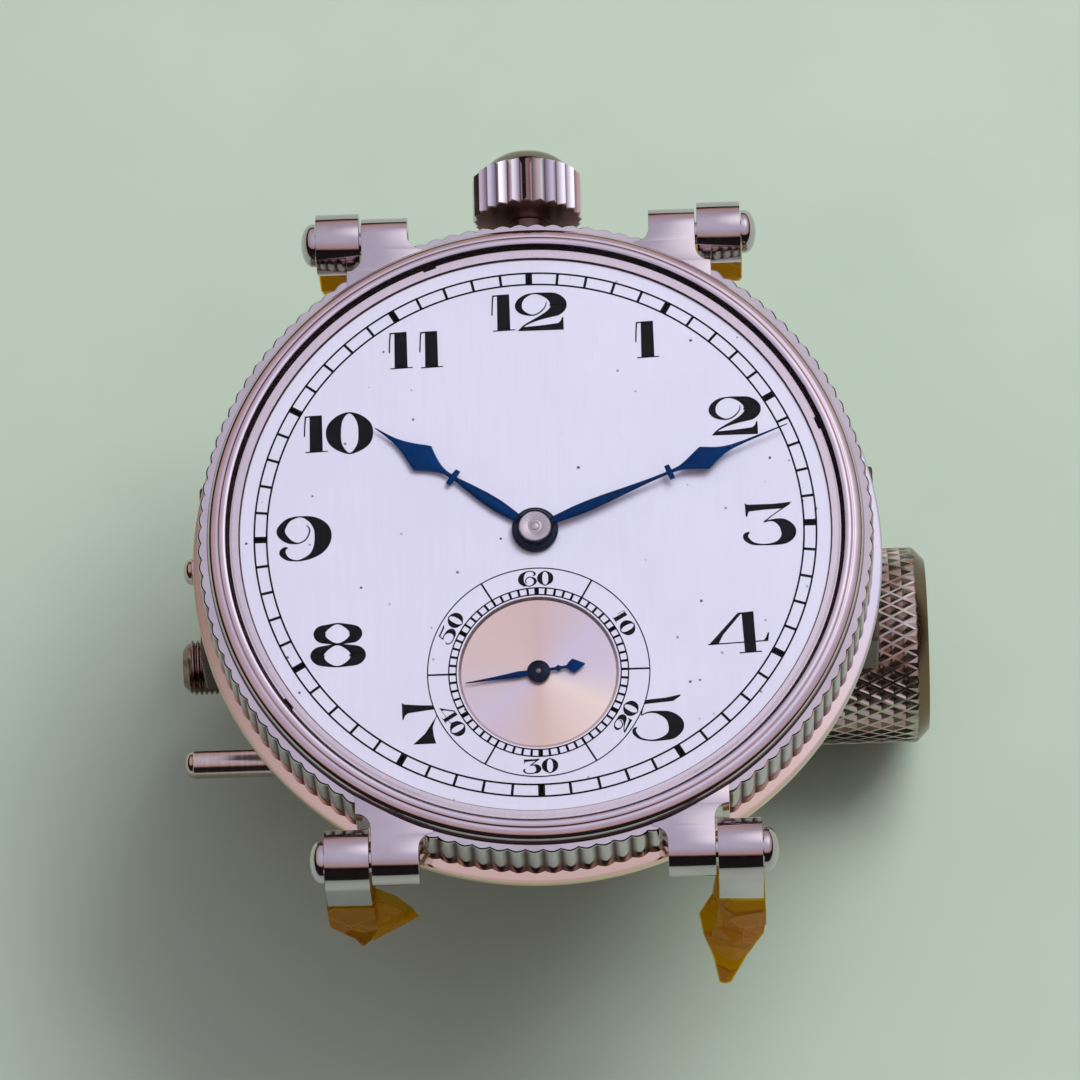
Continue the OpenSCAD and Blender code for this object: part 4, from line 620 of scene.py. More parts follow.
def link():
    """One link about its pin, for the right of the crown side."""
    waist = math.degrees(math.acos(bar_near / barrel_r))
    shape = bmesh.new()
    side = arc((0, 0), barrel_r, 0, 360 - waist, 40) + arc((bar_mid, -link_l), end_r, 180, 360, 18)
    hole = arc((bar_mid, -link_l), strap_hole_r, 0, 360, 24)[:-1]
    edges = [edge for points in (side, hole)
             for edge in outline(shape, [(link_in, y, z) for y, z in points])[1]]
    filled = bmesh.ops.triangle_fill(shape, edges=edges, use_beauty=True)["geom"]
    grown = bmesh.ops.extrude_face_region(shape, geom=only(bmesh.types.BMFace, filled))["geom"]
    bmesh.ops.translate(shape, vec=(link_out - link_in, 0, 0), verts=only(bmesh.types.BMVert, grown))
    bmesh.ops.recalc_face_normals(shape, faces=shape.faces)
    return softened(shape, link_edge, 3, 55)


def at_pin(shape, side_x, side_y):
    """Set a shape made about its pin at one of the four horns."""
    return placed(mirrored(shape, side_x, side_y), Matrix.Translation((0, side_y * pivot_y, pivot_z)))


for corner, name in corner_names.items():
    piece(at_pin(link(), *corner), "drop_link_" + name, mirror_steel, "link_" + name, "polished_steel",
          "lug_link_" + name, sharp=28)
pin_r, head_r, head_gap, head_rim, head_h = 0.8, 1.46, 0.08, 0.28, 0.78
head = [(head_r * math.cos(a), link_out + head_rim + head_h * math.sin(a))
        for a in (math.radians(step * 10) for step in range(10))]
pin_profile = [(0, horn_in), (pin_r, horn_in), (pin_r, link_out + head_gap), (head_r, link_out + head_gap)]
pin_profile += head[:-1] + [(0, head[-1][1])]
pins = [at_pin(placed(turned(pin_profile, 48), to_right), *corner) for corner in corner_names]
piece(joined(*pins), "domed_pins", mirror_steel, "watch", "polished_steel", "lug_pins")

# Lug tapes: strips of amber polyimide film wrapped round the lower end of each
# link so that it doesn't scratch, pinched flat below the bar and creased.
amber_film, film_shader, grain = finish("amber_film", roughness=0.12, specular_ior_level=0.22)
ripple = speckle(grain, 0.6)
crumple = {"Vector": grain, "Scale": 330.0}
# Painted light: each crumpled facet is painted lighter or darker for the light it catches, and the folds
# between them are painted as brighter lines.
facet_light_and_relief = grain.node("TexVoronoi", {"feature": "F1"}, crumple, 1).between(0.25, 0.75)
fold_highlight = 1 - grain.node("TexVoronoi", {"feature": "DISTANCE_TO_EDGE"}, crumple).between(0.004, 0.026)
feed(film_shader, base_color=facet_light_and_relief.mixed((0.36, 0.13, 0.0), (0.82, 0.36, 0.01)))
bumped(ripple + facet_light_and_relief, 0.05, film_shader)
tint = grain.node("BsdfTransparent", None, {"Color": (0.92, 0.74, 0.14, 1)})
body_light = Wire(grain.tree, film_shader.outputs[0])
film_share = facet_light_and_relief * 0.3 + fold_highlight * 0.26 + 0.05
surfaced(grain.node("MixShader", None, {0: film_share, 1: tint, 2: body_light}))
film_gap, film_t = 0.1, 0.05
film_left, film_right = link_in - film_gap, link_out + film_gap
film_near, film_far = bar_near - film_gap, bar_far + film_gap
film_mid = (film_left + film_right) / 2


def round_bar(front, side, back):
    """Eight points round the bar at three heights in each of the front, the sides and the back."""
    return [(film_left, film_far, front[0]), (film_mid, film_far, front[1]), (film_right, film_far, front[2]),
            (film_right, bar_mid, side[1]), (film_right, film_near, back[2]), (film_mid, film_near, back[1]),
            (film_left, film_near, back[0]), (film_left, bar_mid, side[0])]


# Each wrap is a row of rings of eight points about the pin, from the bar down to the pinched tip.
short_wrap = [
    round_bar((-3.26, -3.21, -3.17), (-3.2, -3.2), (-3.3, -3.3, -3.25)),
    round_bar((-6.5, -6.7, -6.85), (-6.6, -6.8), (-6.9, -7.0, -6.9)),
    [(11.32, 1.95, -8.6), (12.5, 2.2, -8.9), (13.5, 2.0, -8.8), (14.33, 0.9, -8.35),
     (14.2, -0.02, -8.25), (12.8, 0.15, -8.5), (11.36, -0.02, -8.25), (11.24, 0.9, -8.35)],
    [(11.74, 2.0, -10.2), (12.3, 2.12, -10.4), (12.8, 2.0, -10.0), (13.2, 1.6, -9.6),
     (13.0, 1.25, -9.6), (12.4, 1.3, -10.0), (11.85, 1.3, -9.8), (11.5, 1.6, -9.7)],
    [(12.2, 2.05, -11.1), (12.35, 2.1, -11.24), (12.5, 2.05, -11.1), (12.56, 1.98, -11.05),
     (12.5, 1.92, -11.05), (12.35, 1.9, -11.1), (12.2, 1.92, -11.05), (12.14, 1.98, -11.05)]]
long_wrap = [
    round_bar((-4.05, -4.2, -4.34), (-4.0, -4.35), (-4.2, -4.3, -4.3)),
    [(11.18, 2.15, -7.95), (12.8, 2.18, -8.0), (14.39, 2.15, -8.06), (14.4, 0.9, -8.1),
     (14.3, -0.35, -7.9), (12.8, -0.35, -7.9), (11.2, -0.35, -7.5), (10.9, 0.6, -6.9)],
    [(11.0, 2.2, -9.1), (12.6, 2.3, -9.3), (14.42, 2.05, -9.3), (14.45, 1.3, -9.4),
     (14.2, 0.5, -9.5), (12.7, 0.45, -9.6), (11.0, 0.6, -9.4), (9.99, 1.2, -9.15)],
    [(10.6, 2.05, -11.2), (12.3, 2.75, -10.7), (13.9, 2.1, -11.3), (14.26, 1.9, -11.6),
     (13.9, 1.7, -11.6), (12.4, 1.7, -11.5), (10.7, 1.6, -11.6), (10.22, 1.75, -11.75)],
    [(11.0, 2.62, -14.2), (12.2, 2.98, -13.3), (13.0, 2.68, -13.8), (13.15, 2.6, -13.9),
     (12.9, 2.5, -14.0), (12.1, 2.45, -14.0), (11.05, 2.45, -14.3), (10.86, 2.55, -14.4)],
    [(11.3, 3.36, -17.4), (11.65, 3.44, -17.5), (11.98, 3.36, -17.4), (12.06, 3.3, -17.35),
     (11.96, 3.25, -17.35), (11.65, 3.22, -17.4), (11.32, 3.25, -17.35), (11.22, 3.3, -17.35)]]


def flap():
    """A loose corner of film on the inner side of a wrap, creased once along its length."""
    shape = bmesh.new()
    upper = [shape.verts.new(point) for point in (
        (11.25, 0.8, -3.15), (9.9, 1.2, -3.69), (8.9, 1.9, -4.0), (11.25, 2.15, -7.3))]
    shape.faces.new(upper)
    crease = shape.edges.get((upper[2], upper[3]))
    grown = bmesh.ops.extrude_edge_only(shape, edges=[crease])["geom"]
    for vert in only(bmesh.types.BMVert, grown):
        vert.co = (8.32, 2.75, -3.4) if vert.co.x < 10 else (11.6, 2.75, -8.2)
    return shape


for corner, name in corner_names.items():
    tape = drawn(long_wrap if name == "6_right" else short_wrap, open_top=True)
    if name == "6_left":
        tape = joined(tape, flap())
    bmesh.ops.triangulate(tape, faces=tape.faces)
    bmesh.ops.recalc_face_normals(tape, faces=tape.faces)
    bmesh.ops.solidify(tape, geom=tape.faces[:], thickness=film_t)
    piece(at_pin(tape, *corner), "amber_tape_" + name, amber_film, "link_" + name, "tape_film",
          "lug_tape_" + name, sharp=5)

# Dial: a brass blank, silvered and brushed upright, with fine dark specks of age
# and a painted brown shadow line where its edge meets the ring. The small seconds
# disc is let in below it behind a bright bevel, gilt and spun in rings.
dial_seen_r, fleck_stray = 19.47, 0.12
dial_silver, silver, grain = finish("dial_silver", metallic=0.25)
brush = speckle(grain, 9.0, (1, 0.03, 1), 4.0)
streaks = brush.between(0.3, 0.7)
stray = Wire(grain.tree, speckle(grain, 3.0).socket.node.outputs["Color"])
warped = grain.vector("ADD", stray.vector("MULTIPLY", (fleck_stray * mm,) * 3))
pock = grain.node("TexVoronoi", {"feature": "F1"}, {"Vector": warped, "Scale": 700.0})
rare = speckle(grain, 0.16, (1, 1, 1), 2.0).between(0.42, 0.50)
fleck = (1 - pock.between(0.05, 0.085)) * rare
dial_tone = patches(grain, 0.12).mixed((0.75, 0.76, 0.90), (0.79, 0.80, 0.94))
dial_tone = (streaks * 0.35).mixed(dial_tone, (0.70, 0.705, 0.84))
dial_tone = (fleck * 0.95).mixed(dial_tone, (0.05, 0.04, 0.05))
# Painted shadow: a dark brown line on the dial's rim, in the gap under the ring.
rim_gap_shadow = out_from_axis(grain).between(dial_seen_r * mm, (dial_seen_r + 0.05) * mm)
feed(silver, base_color=rim_gap_shadow.mixed(dial_tone, (0.035, 0.016, 0.014)), roughness=streaks * 0.14 + 0.36)
bumped(brush, 0.0015, silver)
dressed("dial", dial_silver)

seconds_y, seconds_r, seconds_sink, bevel_w = -9.9, 5.25, 0.18, 0.17
spun_gilt, gilt, grain = finish("spun_gilt", metallic=0.45, anisotropic=0.85)
centred = grain.node("Mapping", None, {"Vector": grain, "Location": (0, -seconds_y * mm, 0)})
spun = grain.node("TexNoise", {"noise_dimensions": "1D"},
                  {"W": out_from_axis(centred), "Scale": 30000.0, "Detail": 2.0})
sheen = spun.between(0.3, 0.7)
# Painted sheen: the disc's tone turns from light to dark in sectors round its centre, a fixed sheen like a
# spun disc shows under the window.
painted_sheen_turn = spun.sum("ARCTAN2", centred.axis("Y"), centred.axis("X")) * (0.5 / math.pi) + 0.5
disc_painted_sheen = painted_sheen_turn.ramp((0.0, (0.78, 0.65, 0.66)), (0.11, (0.72, 0.64, 0.80)), (0.25, (0.70, 0.53, 0.47)),
                        (0.33, (0.85, 0.68, 0.61)), (0.42, (0.98, 0.84, 0.76)), (0.5, (0.78, 0.71, 0.84)),
                        (0.6, (0.72, 0.66, 0.81)), (0.75, (0.67, 0.50, 0.48)), (0.9, (0.78, 0.60, 0.56)),
                        (1.0, (0.78, 0.65, 0.66)))
feed(gilt, base_color=(sheen * 0.25).mixed(disc_painted_sheen, (0.66, 0.52, 0.50)), roughness=sheen * 0.06 + 0.34)
bumped(spun, 0.002, gilt)
dressed("seconds_disc", spun_gilt)
bevel_in = seconds_r - bevel_w
sink_bevel = turned([(bevel_in, 0.004 - seconds_sink), (seconds_r, 0.004), (seconds_r + 0.04, 0.006),
                     (seconds_r + 0.04, -0.01), (seconds_r - 0.02, 0.002 - seconds_sink),
                     (bevel_in, 0.002 - seconds_sink), (bevel_in, 0.004 - seconds_sink)], 128)
piece(at_dial(sink_bevel, seconds_y), "seconds_bevel", ring_satin, "watch", "dial_silver")

# Dial print: black enamel numbers and tracks, stamped on the silver in a layer a
# hundredth of a millimetre thick. The five and the seven are cut by the seconds ring.
black_enamel, enamel, grain = finish("black_enamel", roughness=0.5, specular_ior_level=0.05)
feed(enamel, base_color=patches(grain, 2.5).mixed((0.003, 0.003, 0.004), (0.010, 0.009, 0.012)))
# Each figure has open pen strokes and closed ones, as (x, y, width), and filled outlines, all in mm.
glyphs = {
    "1": ([], [], [
        [(-0.39, 1.31), (0.43, 1.34), (0.46, -1.28), (-0.41, -1.31)],
        [(-0.69, -1.34), (-0.69, -1.26), (0.79, -1.21), (0.79, -1.28)],
        [(-0.39, 1.31), (-0.71, 1.28), (-0.76, 0.6), (-0.79, -0.17), (-0.7, -0.17), (-0.67, 0.57),
         (-0.62, 1.18), (-0.39, 1.21)]]),
    "2": ([[(0.36, 0.73, 0.05), (0.31, 0.41, 0.07), (0.06, 0.07, 0.09), (-0.28, -0.16, 0.09),
            (-0.62, -0.23, 0.1), (-1.03, -0.12, 0.22), (-1.37, 0.12, 0.38), (-1.5, 0.44, 0.47),
            (-1.38, 0.83, 0.37), (-0.99, 1.18, 0.2), (-0.41, 1.34, 0.09), (0.25, 1.23, 0.32),
            (0.84, 0.97, 0.81), (1.15, 0.52, 1.17), (0.99, 0.12, 0.94), (0.54, -0.17, 0.54),
            (-0.02, -0.42, 0.3), (-0.64, -0.7, 0.16), (-1.15, -0.99, 0.11), (-1.48, -1.31, 0.09)]], [], [
        [(-1.58, -1.36), (-1.33, -1.09), (0.02, -0.99), (1.13, -0.86), (1.31, -0.68), (1.39, -0.44),
         (1.48, -0.44), (1.49, -1.35)]]),
    "3": ([[(1.42, 1.39, 0.1), (0.39, 0.68, 0.07), (-0.34, 0.12, 0.09)],
           [(-0.34, 0.12, 0.09), (0.27, 0.23, 0.17), (0.91, -0.01, 0.69), (1.27, -0.57, 1.03),
            (1.03, -1.1, 0.71), (0.46, -1.4, 0.25), (-0.34, -1.48, 0.1), (-1.08, -1.38, 0.2),
            (-1.49, -1.07, 0.34), (-1.56, -0.78, 0.32), (-1.31, -0.58, 0.1)]], [], [
        [(-1.56, 1.5), (-1.38, 1.38), (0.39, 1.39), (1.56, 1.5), (0.83, 1.05), (-0.34, 0.99), (-1.31, 0.89),
         (-1.42, 0.54), (-1.51, 0.54)]]),
    "4": ([], [], [
        [(0.23, 1.39), (1.01, 1.46), (1.13, -1.35), (0.37, -1.38)],
        [(0.02, -1.47), (0.02, -1.39), (1.48, -1.32), (1.48, -1.4)],
        [(-0.02, 1.38), (0.25, 1.4), (0.25, 1.31), (0.14, 1.25), (-1.02, -0.13), (-1.33, -0.74),
         (-2.0, -0.83)],
        [(-2.01, -0.83), (-2.01, -0.75), (1.93, -0.58), (1.93, -0.66)],
        [(1.56, -0.66), (1.93, -0.58), (2.0, -0.05), (1.9, -0.08), (1.77, -0.42)]]),
    "5": ([[(-0.87, 1.22, 0.09), (-0.99, 0.72, 0.07), (-1.1, 0.21, 0.07)],
           [(-1.1, 0.21, 0.07), (-0.63, 0.4, 0.1), (0.0, 0.38, 0.22), (0.75, 0.09, 0.67),
            (1.16, -0.52, 1.06), (0.9, -1.14, 0.69), (0.31, -1.44, 0.27), (-0.43, -1.55, 0.1),
            (-1.15, -1.4, 0.14), (-1.53, -1.06, 0.25), (-1.58, -0.77, 0.22), (-1.4, -0.62, 0.07)]], [], [
        [(-0.89, 1.27), (0.55, 1.39), (1.51, 1.58), (1.48, 1.47), (1.02, 1.14), (-0.92, 0.98)]]),
    "7": ([], [], [
        [(-1.35, 1.46), (-1.17, 1.36), (-0.06, 1.26), (1.32, 1.21), (1.23, 1.05), (0.86, 0.97),
         (-0.06, 0.86), (-0.95, 0.74), (-1.16, 0.57), (-1.26, 0.28), (-1.33, 0.28)],
        [(1.28, 1.18), (1.0, 0.64), (0.12, -0.73), (-0.64, -1.44), (0.85, -1.42), (0.7, -0.89),
         (0.64, -0.29), (0.85, 0.33), (1.32, 1.1)]]),
    "8": ([], [
        [(-0.02, 1.5, 0.09), (0.59, 1.31, 0.32), (1.05, 1.03, 0.71), (1.15, 0.78, 0.92), (1.03, 0.48, 0.71),
         (0.59, 0.23, 0.3), (-0.02, 0.07, 0.1), (-0.62, 0.23, 0.3), (-1.06, 0.48, 0.67),
         (-1.17, 0.78, 0.86), (-1.06, 1.06, 0.67), (-0.62, 1.31, 0.3)],
        [(-0.05, 0.03, 0.1), (0.64, -0.17, 0.37), (1.13, -0.46, 0.86), (1.27, -0.74, 1.11),
         (1.11, -1.07, 0.84), (0.62, -1.35, 0.34), (-0.06, -1.52, 0.09), (-0.74, -1.35, 0.32),
         (-1.18, -1.07, 0.74), (-1.33, -0.74, 0.99), (-1.21, -0.46, 0.76), (-0.71, -0.17, 0.34)]], []),
    "9": ([[(0.18, 0.95, 0.06), (0.37, 0.66, 0.09), (0.28, 0.19, 0.09), (-0.01, -0.17, 0.09),
            (-0.5, -0.32, 0.11), (-1.12, -0.08, 0.39), (-1.54, 0.52, 0.57), (-1.18, 1.19, 0.34),
            (-0.69, 1.48, 0.16), (-0.11, 1.55, 0.1), (0.6, 1.28, 0.54), (1.13, 0.72, 1.01),
            (1.26, 0.09, 1.13), (1.05, -0.61, 0.89), (0.54, -1.19, 0.42), (-0.14, -1.5, 0.15),
            (-0.63, -1.54, 0.1), (-1.12, -1.39, 0.25), (-1.43, -1.01, 0.44), (-1.31, -0.7, 0.27),
            (-1.07, -0.62, 0.06)]], [], []),
    "0": ([], [
        [(0.0, 1.46, 0.09), (0.6, 1.11, 0.47), (0.99, 0.54, 0.89), (1.08, 0.0, 0.99), (0.97, -0.58, 0.86),
         (0.58, -1.11, 0.44), (0.0, -1.46, 0.09), (-0.58, -1.11, 0.44), (-0.96, -0.58, 0.86),
         (-1.07, 0.0, 1.01), (-0.96, 0.54, 0.89), (-0.6, 1.11, 0.47)]], []),
}


def flowing(points, closed, steps=5):
    """Points of a pen stroke (x, y, width) with smooth steps between them."""
    knots = [Vector(p) for p in points]
    knots = [knots[-1]] + knots + knots[:2] if closed else [knots[0]] + knots + [knots[-1]]
    flow = []
    for a, b, c, d in zip(knots, knots[1:], knots[2:], knots[3:]):
        for s in (step / steps for step in range(steps)):
            flow.append(0.5 * (2 * b + (c - a) * s + (2 * a - 5 * b + 4 * c - d) * s ** 2
                               + (3 * b - a - 3 * c + d) * s ** 3))
    flow.append(knots[-2])
    return flow


def stroke(shape, points, closed, least):
    """Lay a pen stroke by drawing an edge from step to step."""
    path = flowing(points, closed)
    edge = None
    for i, here in enumerate(path):
        if closed:
            before, after = path[i - 1 if i else -2], path[i + 1 if i + 1 < len(path) else 1]
        else:
            before, after = path[max(i - 1, 0)], path[min(i + 1, len(path) - 1)]
        run = (after - before).xy.normalized()
        half = max(here.z, least) / 2
        ends = [Vector((here.x + s * half * run.y, here.y - s * half * run.x, 0)) for s in (-1, 1)]
        if edge is None:
            edge = shape.edges.new([shape.verts.new(end) for end in ends])
            pair = list(edge.verts)
        else:
            grown = bmesh.ops.extrude_edge_only(shape, edges=[edge])["geom"]
            edge = only(bmesh.types.BMEdge, grown)[0]
            fresh = list(edge.verts)
            if (fresh[0].co - pair[0].co).length > (fresh[0].co - pair[1].co).length:
                fresh.reverse()
            for vert, end in zip(fresh, ends):
                vert.co = end
            pair = fresh


def numeral(text, places, least=0.03):
    """A number of one or two figures about its middle."""
    whole = bmesh.new()
    for figure, place in zip(text, places):
        shape = bmesh.new()
        strokes, rings, fills = glyphs["9" if figure == "6" else figure]
        for points in strokes:
            stroke(shape, points, False, least)
        for points in rings:
            stroke(shape, points, True, least)
        for points in fills:
            edges = outline(shape, [(x, y, 0) for x, y in points])[1]
            filled = bmesh.ops.contextual_create(shape, geom=edges)["faces"]
            bmesh.ops.triangulate(shape, faces=filled)
        if figure == "6":
            bmesh.ops.rotate(shape, matrix=Matrix.Rotation(math.pi, 3, "Z"), verts=shape.verts)
        bmesh.ops.translate(shape, vec=(place, 0, 0), verts=shape.verts)
        whole = joined(whole, shape)
    return whole


def ring(radius, width, steps=192):
    """A printed circle."""
    return turned([(radius - width / 2, 0), (radius + width / 2, 0)], steps)


def ticks(inner, outer, width, count, first=0.0):
    """Printed bars round a circle."""
    shape = bmesh.new()
    bmesh.ops.create_grid(shape, x_segments=1, y_segments=1, size=0.5)
    bmesh.ops.scale(shape, vec=(width, outer - inner, 1), verts=shape.verts)
    bmesh.ops.translate(shape, vec=(0, (inner + outer) / 2, 0), verts=shape.verts)
    bmesh.ops.rotate(shape, matrix=Matrix.Rotation(-math.radians(first), 3, "Z"), verts=shape.verts)
    bmesh.ops.spin(shape, geom=shape.verts[:] + shape.edges[:] + shape.faces[:], axis=(0, 0, 1),
                   cent=(0, 0, 0), angle=2 * math.pi * (count - 1) / count, steps=count - 1,
                   use_duplicate=True)
    return shape


def round_dial(radius, degrees):
    """Shift from the middle of a dial, by degrees clockwise from twelve."""
    turn = math.radians(degrees)
    return Matrix.Translation((radius * math.sin(turn), radius * math.cos(turn), 0))


track_out, track_in, track_line = 18.55, 17.73, 0.12
print_parts = [ring(track_out, track_line), ring(track_in, track_line),
               ticks(track_in, track_out, 0.18, 60), ticks(track_in, track_out, 0.45, 12)]
hours = (("12", 0, 15.73, (-1.77, 0.76)), ("1", 1, 15.55, (0,)), ("2", 2, 15.52, (0,)),
         ("3", 3, 15.43, (0,)), ("4", 4, 15.21, (0,)), ("5", 5, 15.45, (0,)), ("7", 7, 15.3, (0,)),
         ("8", 8, 15.15, (0,)), ("9", 9, 15.26, (0,)), ("10", 10, 14.85, (-1.54, 0.71)),
         ("11", 11, 15.3, (-1.02, 1.02)))
seconds_ring, seconds_at = 7.28, Vector((0, seconds_y))
for text, hour, radius, places in hours:
    figure = placed(numeral(text, places), round_dial(radius, 30 * hour))
    if text in "57":
        bmesh.ops.triangulate(figure, faces=figure.faces)
        bmesh.ops.subdivide_edges(figure, edges=figure.edges, cuts=5, use_grid_fill=True)
        for vert in figure.verts:
            reach = vert.co.xy - seconds_at
            if reach.length < seconds_ring:
                vert.co.xy = seconds_at + reach.normalized() * seconds_ring
    print_parts.append(figure)
cells_in, cells_out, figures_at, figures_share, figures_least = 5.41, 5.89, 6.55, 0.34, 0.2
small = [ring(seconds_ring, 0.075), ring(cells_out, 0.085, 128), ring(cells_in, 0.085, 128),
         ticks(cells_in, cells_out, 0.16, 60), ticks(cells_in, cells_out, 0.3, 6),
         ticks(cells_in, seconds_ring, 0.12, 6, 30)]
for text, turn in (("60", 0), ("10", 60), ("20", 120), ("30", 180), ("40", 240), ("50", 300)):
    lean = -turn if turn in (0, 60, 300) else 180 - turn
    places = (-1.35, 1.35) if text == "10" else (-1.72, 1.72)
    small.append(placed(numeral(text, places, figures_least), Matrix.Scale(figures_share, 4),
                        Matrix.Rotation(math.radians(lean), 4, "Z"), round_dial(figures_at, turn)))
print_parts.append(placed(joined(*small), Matrix.Translation((0, seconds_y, 0))))
print_gap, print_t = 0.002, 0.012
print_shape = joined(*print_parts)
bmesh.ops.dissolve_degenerate(print_shape, edges=print_shape.edges, dist=1e-4)
for face in print_shape.faces:
    if face.normal.z < 0:
        face.normal_flip()
raised = bmesh.ops.extrude_face_region(print_shape, geom=print_shape.faces[:])["geom"]
bmesh.ops.translate(print_shape, vec=(0, 0, print_t), verts=only(bmesh.types.BMVert, raised))
bmesh.ops.recalc_face_normals(print_shape, faces=print_shape.faces)
piece(at_dial(print_shape, 0, print_gap), "dial_print", black_enamel, "watch", "dial_silver", sharp=60)

# Hands: spade hands stamped from spring steel, the stems rounded and the spades
# left flat, polished and blued by heat. Their hubs are polished black, and the post
# that carries them ends in a bright turned cap.


def mottled(name, patch, dark, light, fine, least, spread):
    """A metal whose tone drifts in patches, and its roughness in finer ones, so many to the mm."""
    made, shader, grain = finish(name, metallic=1.0)
    feed(shader, base_color=patches(grain, patch).mixed(dark, light),
         roughness=patches(grain, fine) * spread + least)
    return made


blued_steel = mottled("blued_steel", 0.35, (0.001, 0.024, 0.105), (0.001, 0.04, 0.16), 6.0, 0.2, 0.08)
black_polish = mottled("black_polish", 0.8, (0.008, 0.011, 0.024), (0.018, 0.026, 0.05), 5.0, 0.1, 0.06)
rim_t = 0.05


def blade(length, stations):
    """A hand's blade along +Y from (share of length, half width, height of its dome)."""
    return drawn([[(-half, share * length, 0), (-half, share * length, rim_t),
                   (-0.6 * half, share * length, rim_t + 0.7 * dome), (0, share * length, rim_t + dome),
                   (0.6 * half, share * length, rim_t + 0.7 * dome), (half, share * length, rim_t),
                   (half, share * length, 0)] for share, half, dome in stations])


hour_stations = [(0.09, 0.27, 0.10), (0.16, 0.36, 0.14), (0.235, 0.43, 0.16), (0.32, 0.39, 0.15),
                 (0.42, 0.26, 0.11), (0.495, 0.14, 0.07), (0.498, 0.6, 0.09), (0.524, 0.6, 0.09),
                 (0.527, 0.14, 0.07), (0.56, 0.15, 0.06), (0.59, 0.24, 0.05), (0.62, 0.40, 0.05),
                 (0.65, 0.60, 0.05), (0.68, 0.84, 0.05), (0.702, 1.03, 0.05), (0.725, 0.92, 0.05),
                 (0.76, 0.70, 0.05), (0.80, 0.48, 0.05), (0.84, 0.30, 0.05), (0.88, 0.17, 0.05),
                 (0.93, 0.09, 0.04), (1, 0.03, 0.02)]
minute_stations = [(0.06, 0.24, 0.10), (0.10, 0.29, 0.13), (0.16, 0.36, 0.15), (0.21, 0.37, 0.15),
                   (0.28, 0.32, 0.13), (0.36, 0.22, 0.10), (0.45, 0.13, 0.07), (0.522, 0.10, 0.06),
                   (0.524, 0.53, 0.08), (0.542, 0.53, 0.08), (0.544, 0.11, 0.06), (0.575, 0.16, 0.05),
                   (0.605, 0.34, 0.05), (0.635, 0.57, 0.05), (0.66, 0.77, 0.05), (0.672, 0.84, 0.05),
                   (0.69, 0.69, 0.05), (0.715, 0.47, 0.05), (0.745, 0.27, 0.05), (0.78, 0.15, 0.05),
                   (0.83, 0.09, 0.04), (0.92, 0.06, 0.03), (1, 0.03, 0.02)]
seconds_stations = [(-0.635, 0.03, 0.02), (-0.59, 0.16, 0.03), (-0.48, 0.49, 0.04), (-0.43, 0.33, 0.04),
                    (-0.385, 0.10, 0.04), (-0.32, 0.09, 0.04), (-0.3, 0.13, 0.04), (-0.27, 0.22, 0.05),
                    (-0.245, 0.13, 0.04), (-0.22, 0.09, 0.04), (-0.1, 0.12, 0.04), (0.15, 0.18, 0.05),
                    (0.27, 0.22, 0.05), (0.42, 0.17, 0.05), (0.6, 0.11, 0.04), (0.8, 0.07, 0.03),
                    (1, 0.03, 0.02)]
hands = (("hour_hand", "spade_hour", 12.9, hour_stations, 306, 0.30, 0, "hour_hand"),
         ("minute_hand", "spade_minute", 18.2, minute_stations, 68, 0.60, 0, "minute_hand"),
         ("fourth_wheel", "small_seconds", 4.85, seconds_stations, 262, 0.06, seconds_y, "seconds_hand"))
for body, name, length, stations, turn, rise, middle_y, node in hands:
    pointed = placed(blade(length, stations), Matrix.Rotation(-math.radians(turn), 4, "Z"))
    piece(at_dial(pointed, middle_y, rise), name, blued_steel, body, "blued_steel", node, sharp=25)
hour_collar = [(1.2, 0.25), (1.5, 0.25), (1.54, 0.3), (1.53, 0.4), (1.46, 0.48), (1.32, 0.52), (1.2, 0.52),
               (1.2, 0.25)]
minute_collar = [(1.06, 0.56), (1.24, 0.56), (1.28, 0.62), (1.26, 0.74), (1.19, 0.82), (1.1, 0.86),
                 (1.06, 0.86), (1.06, 0.56)]
seconds_collar = [(0, 0.05), (0.72, 0.05), (0.77, 0.09), (0.75, 0.15), (0.66, 0.2), (0.4, 0.23), (0.2, 0.24),
                  (0.16, 0.225), (0, 0.225)]
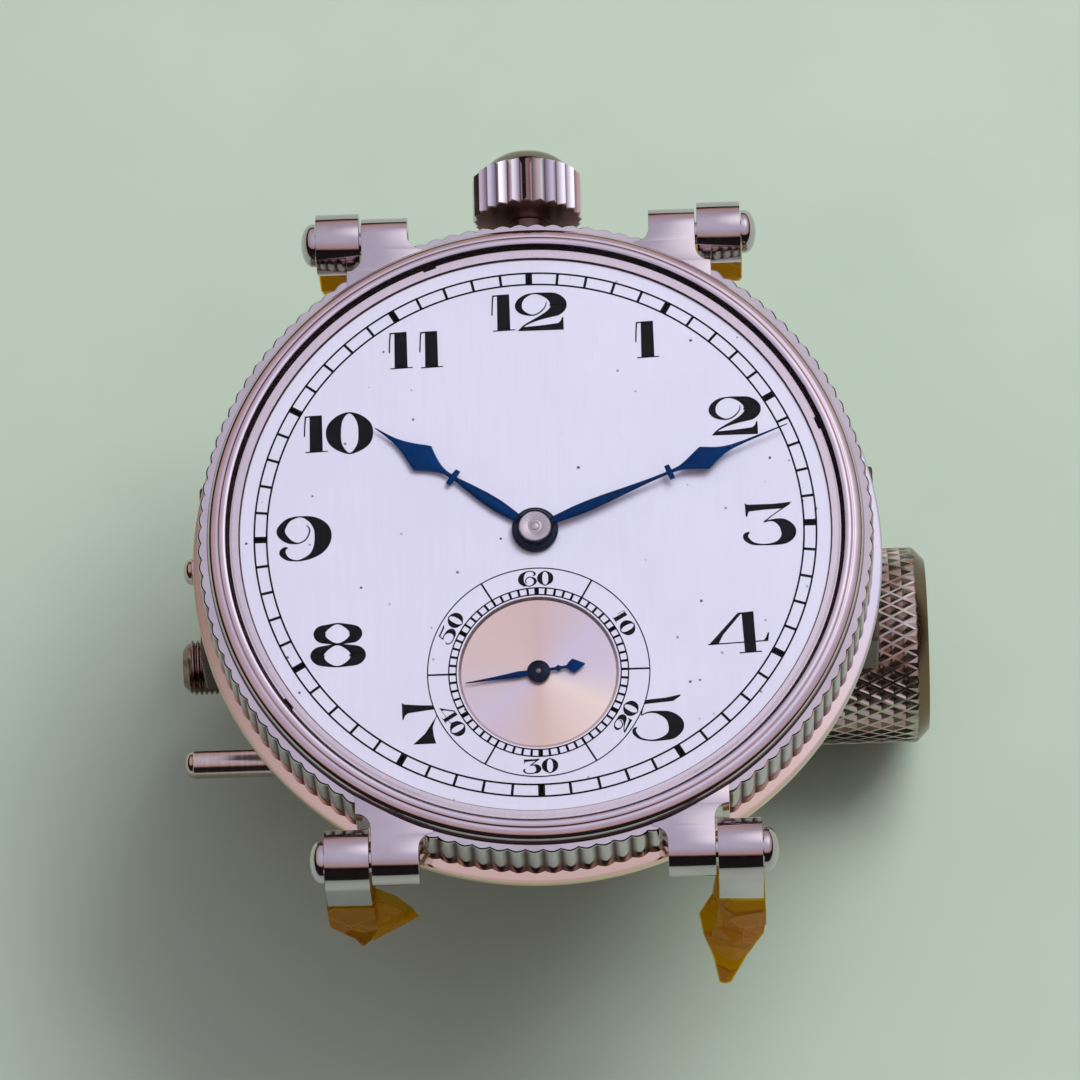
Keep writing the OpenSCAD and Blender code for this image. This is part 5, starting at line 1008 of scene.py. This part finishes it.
for body, name, middle_y, profile in (("hour_hand", "hour_hub", 0, hour_collar),
                                      ("minute_hand", "minute_hub", 0, minute_collar),
                                      ("fourth_wheel", "seconds_hub", seconds_y, seconds_collar)):
    piece(at_dial(turned(profile, 64), middle_y), name, black_polish, body, "blued_steel")
pivot = turned([(0, 0.2), (0.16, 0.2), (0.16, 0.245), (0.11, 0.26), (0, 0.262)], 32)
piece(at_dial(pivot, seconds_y), "seconds_pivot", browned_steel, "fourth_wheel", "movement_steel")
cap = turned([(0, 0.7), (1.02, 0.7), (1.04, 0.76), (1.04, 0.92), (1.0, 0.95), (0.5, 0.955), (0.46, 0.94),
              (0.42, 0.955), (0.3, 0.95), (0.28, 0.97), (0.24, 0.99), (0.14, 1.01), (0, 1.015)], 64)
piece(at_dial(cap), "post_cap", mirror_steel, "minute_hand", "polished_steel")

# Movement: plates and bridges of nickel with soft stripes, gilt wheels, steel
# winding work, blued springs and ruby jewels, all closed inside the case.
striped_nickel, nickel, grain = finish("striped_nickel", metallic=1.0)
stripes = grain.node("TexWave", {"wave_profile": "SAW"}, {"Vector": grain, "Scale": 130.0, "Distortion": 0.4})
feed(nickel, base_color=stripes.mixed((0.62, 0.60, 0.57), (0.76, 0.74, 0.71)),
     roughness=stripes * 0.14 + 0.24)
gilt_brass = mottled("gilt_brass", 0.8, (0.68, 0.48, 0.19), (0.78, 0.58, 0.27), 6.0, 0.22, 0.12)
hard_steel = mottled("hard_steel", 0.7, (0.58, 0.57, 0.57), (0.70, 0.69, 0.69), 6.0, 0.18, 0.12)
blue_spring = mottled("blue_spring", 0.7, (0.04, 0.08, 0.28), (0.09, 0.15, 0.40), 6.0, 0.2, 0.1)
ruby, jewel, grain = finish("ruby", roughness=0.08, coat_weight=0.5)
feed(jewel, base_color=patches(grain, 1.5).mixed((0.36, 0.01, 0.04), (0.56, 0.03, 0.09)))
movement = {
    "movement_nickel": striped_nickel, "wheel_brass": gilt_brass, "movement_steel": hard_steel,
    "spring_blue": blue_spring, "jewel_ruby": ruby, "blued_steel": blued_steel}
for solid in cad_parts.values():
    for slot in solid.material_slots:
        for slot_name, surface in movement.items():
            if slot.material and slot.material.name.startswith(slot_name):
                slot.material = surface
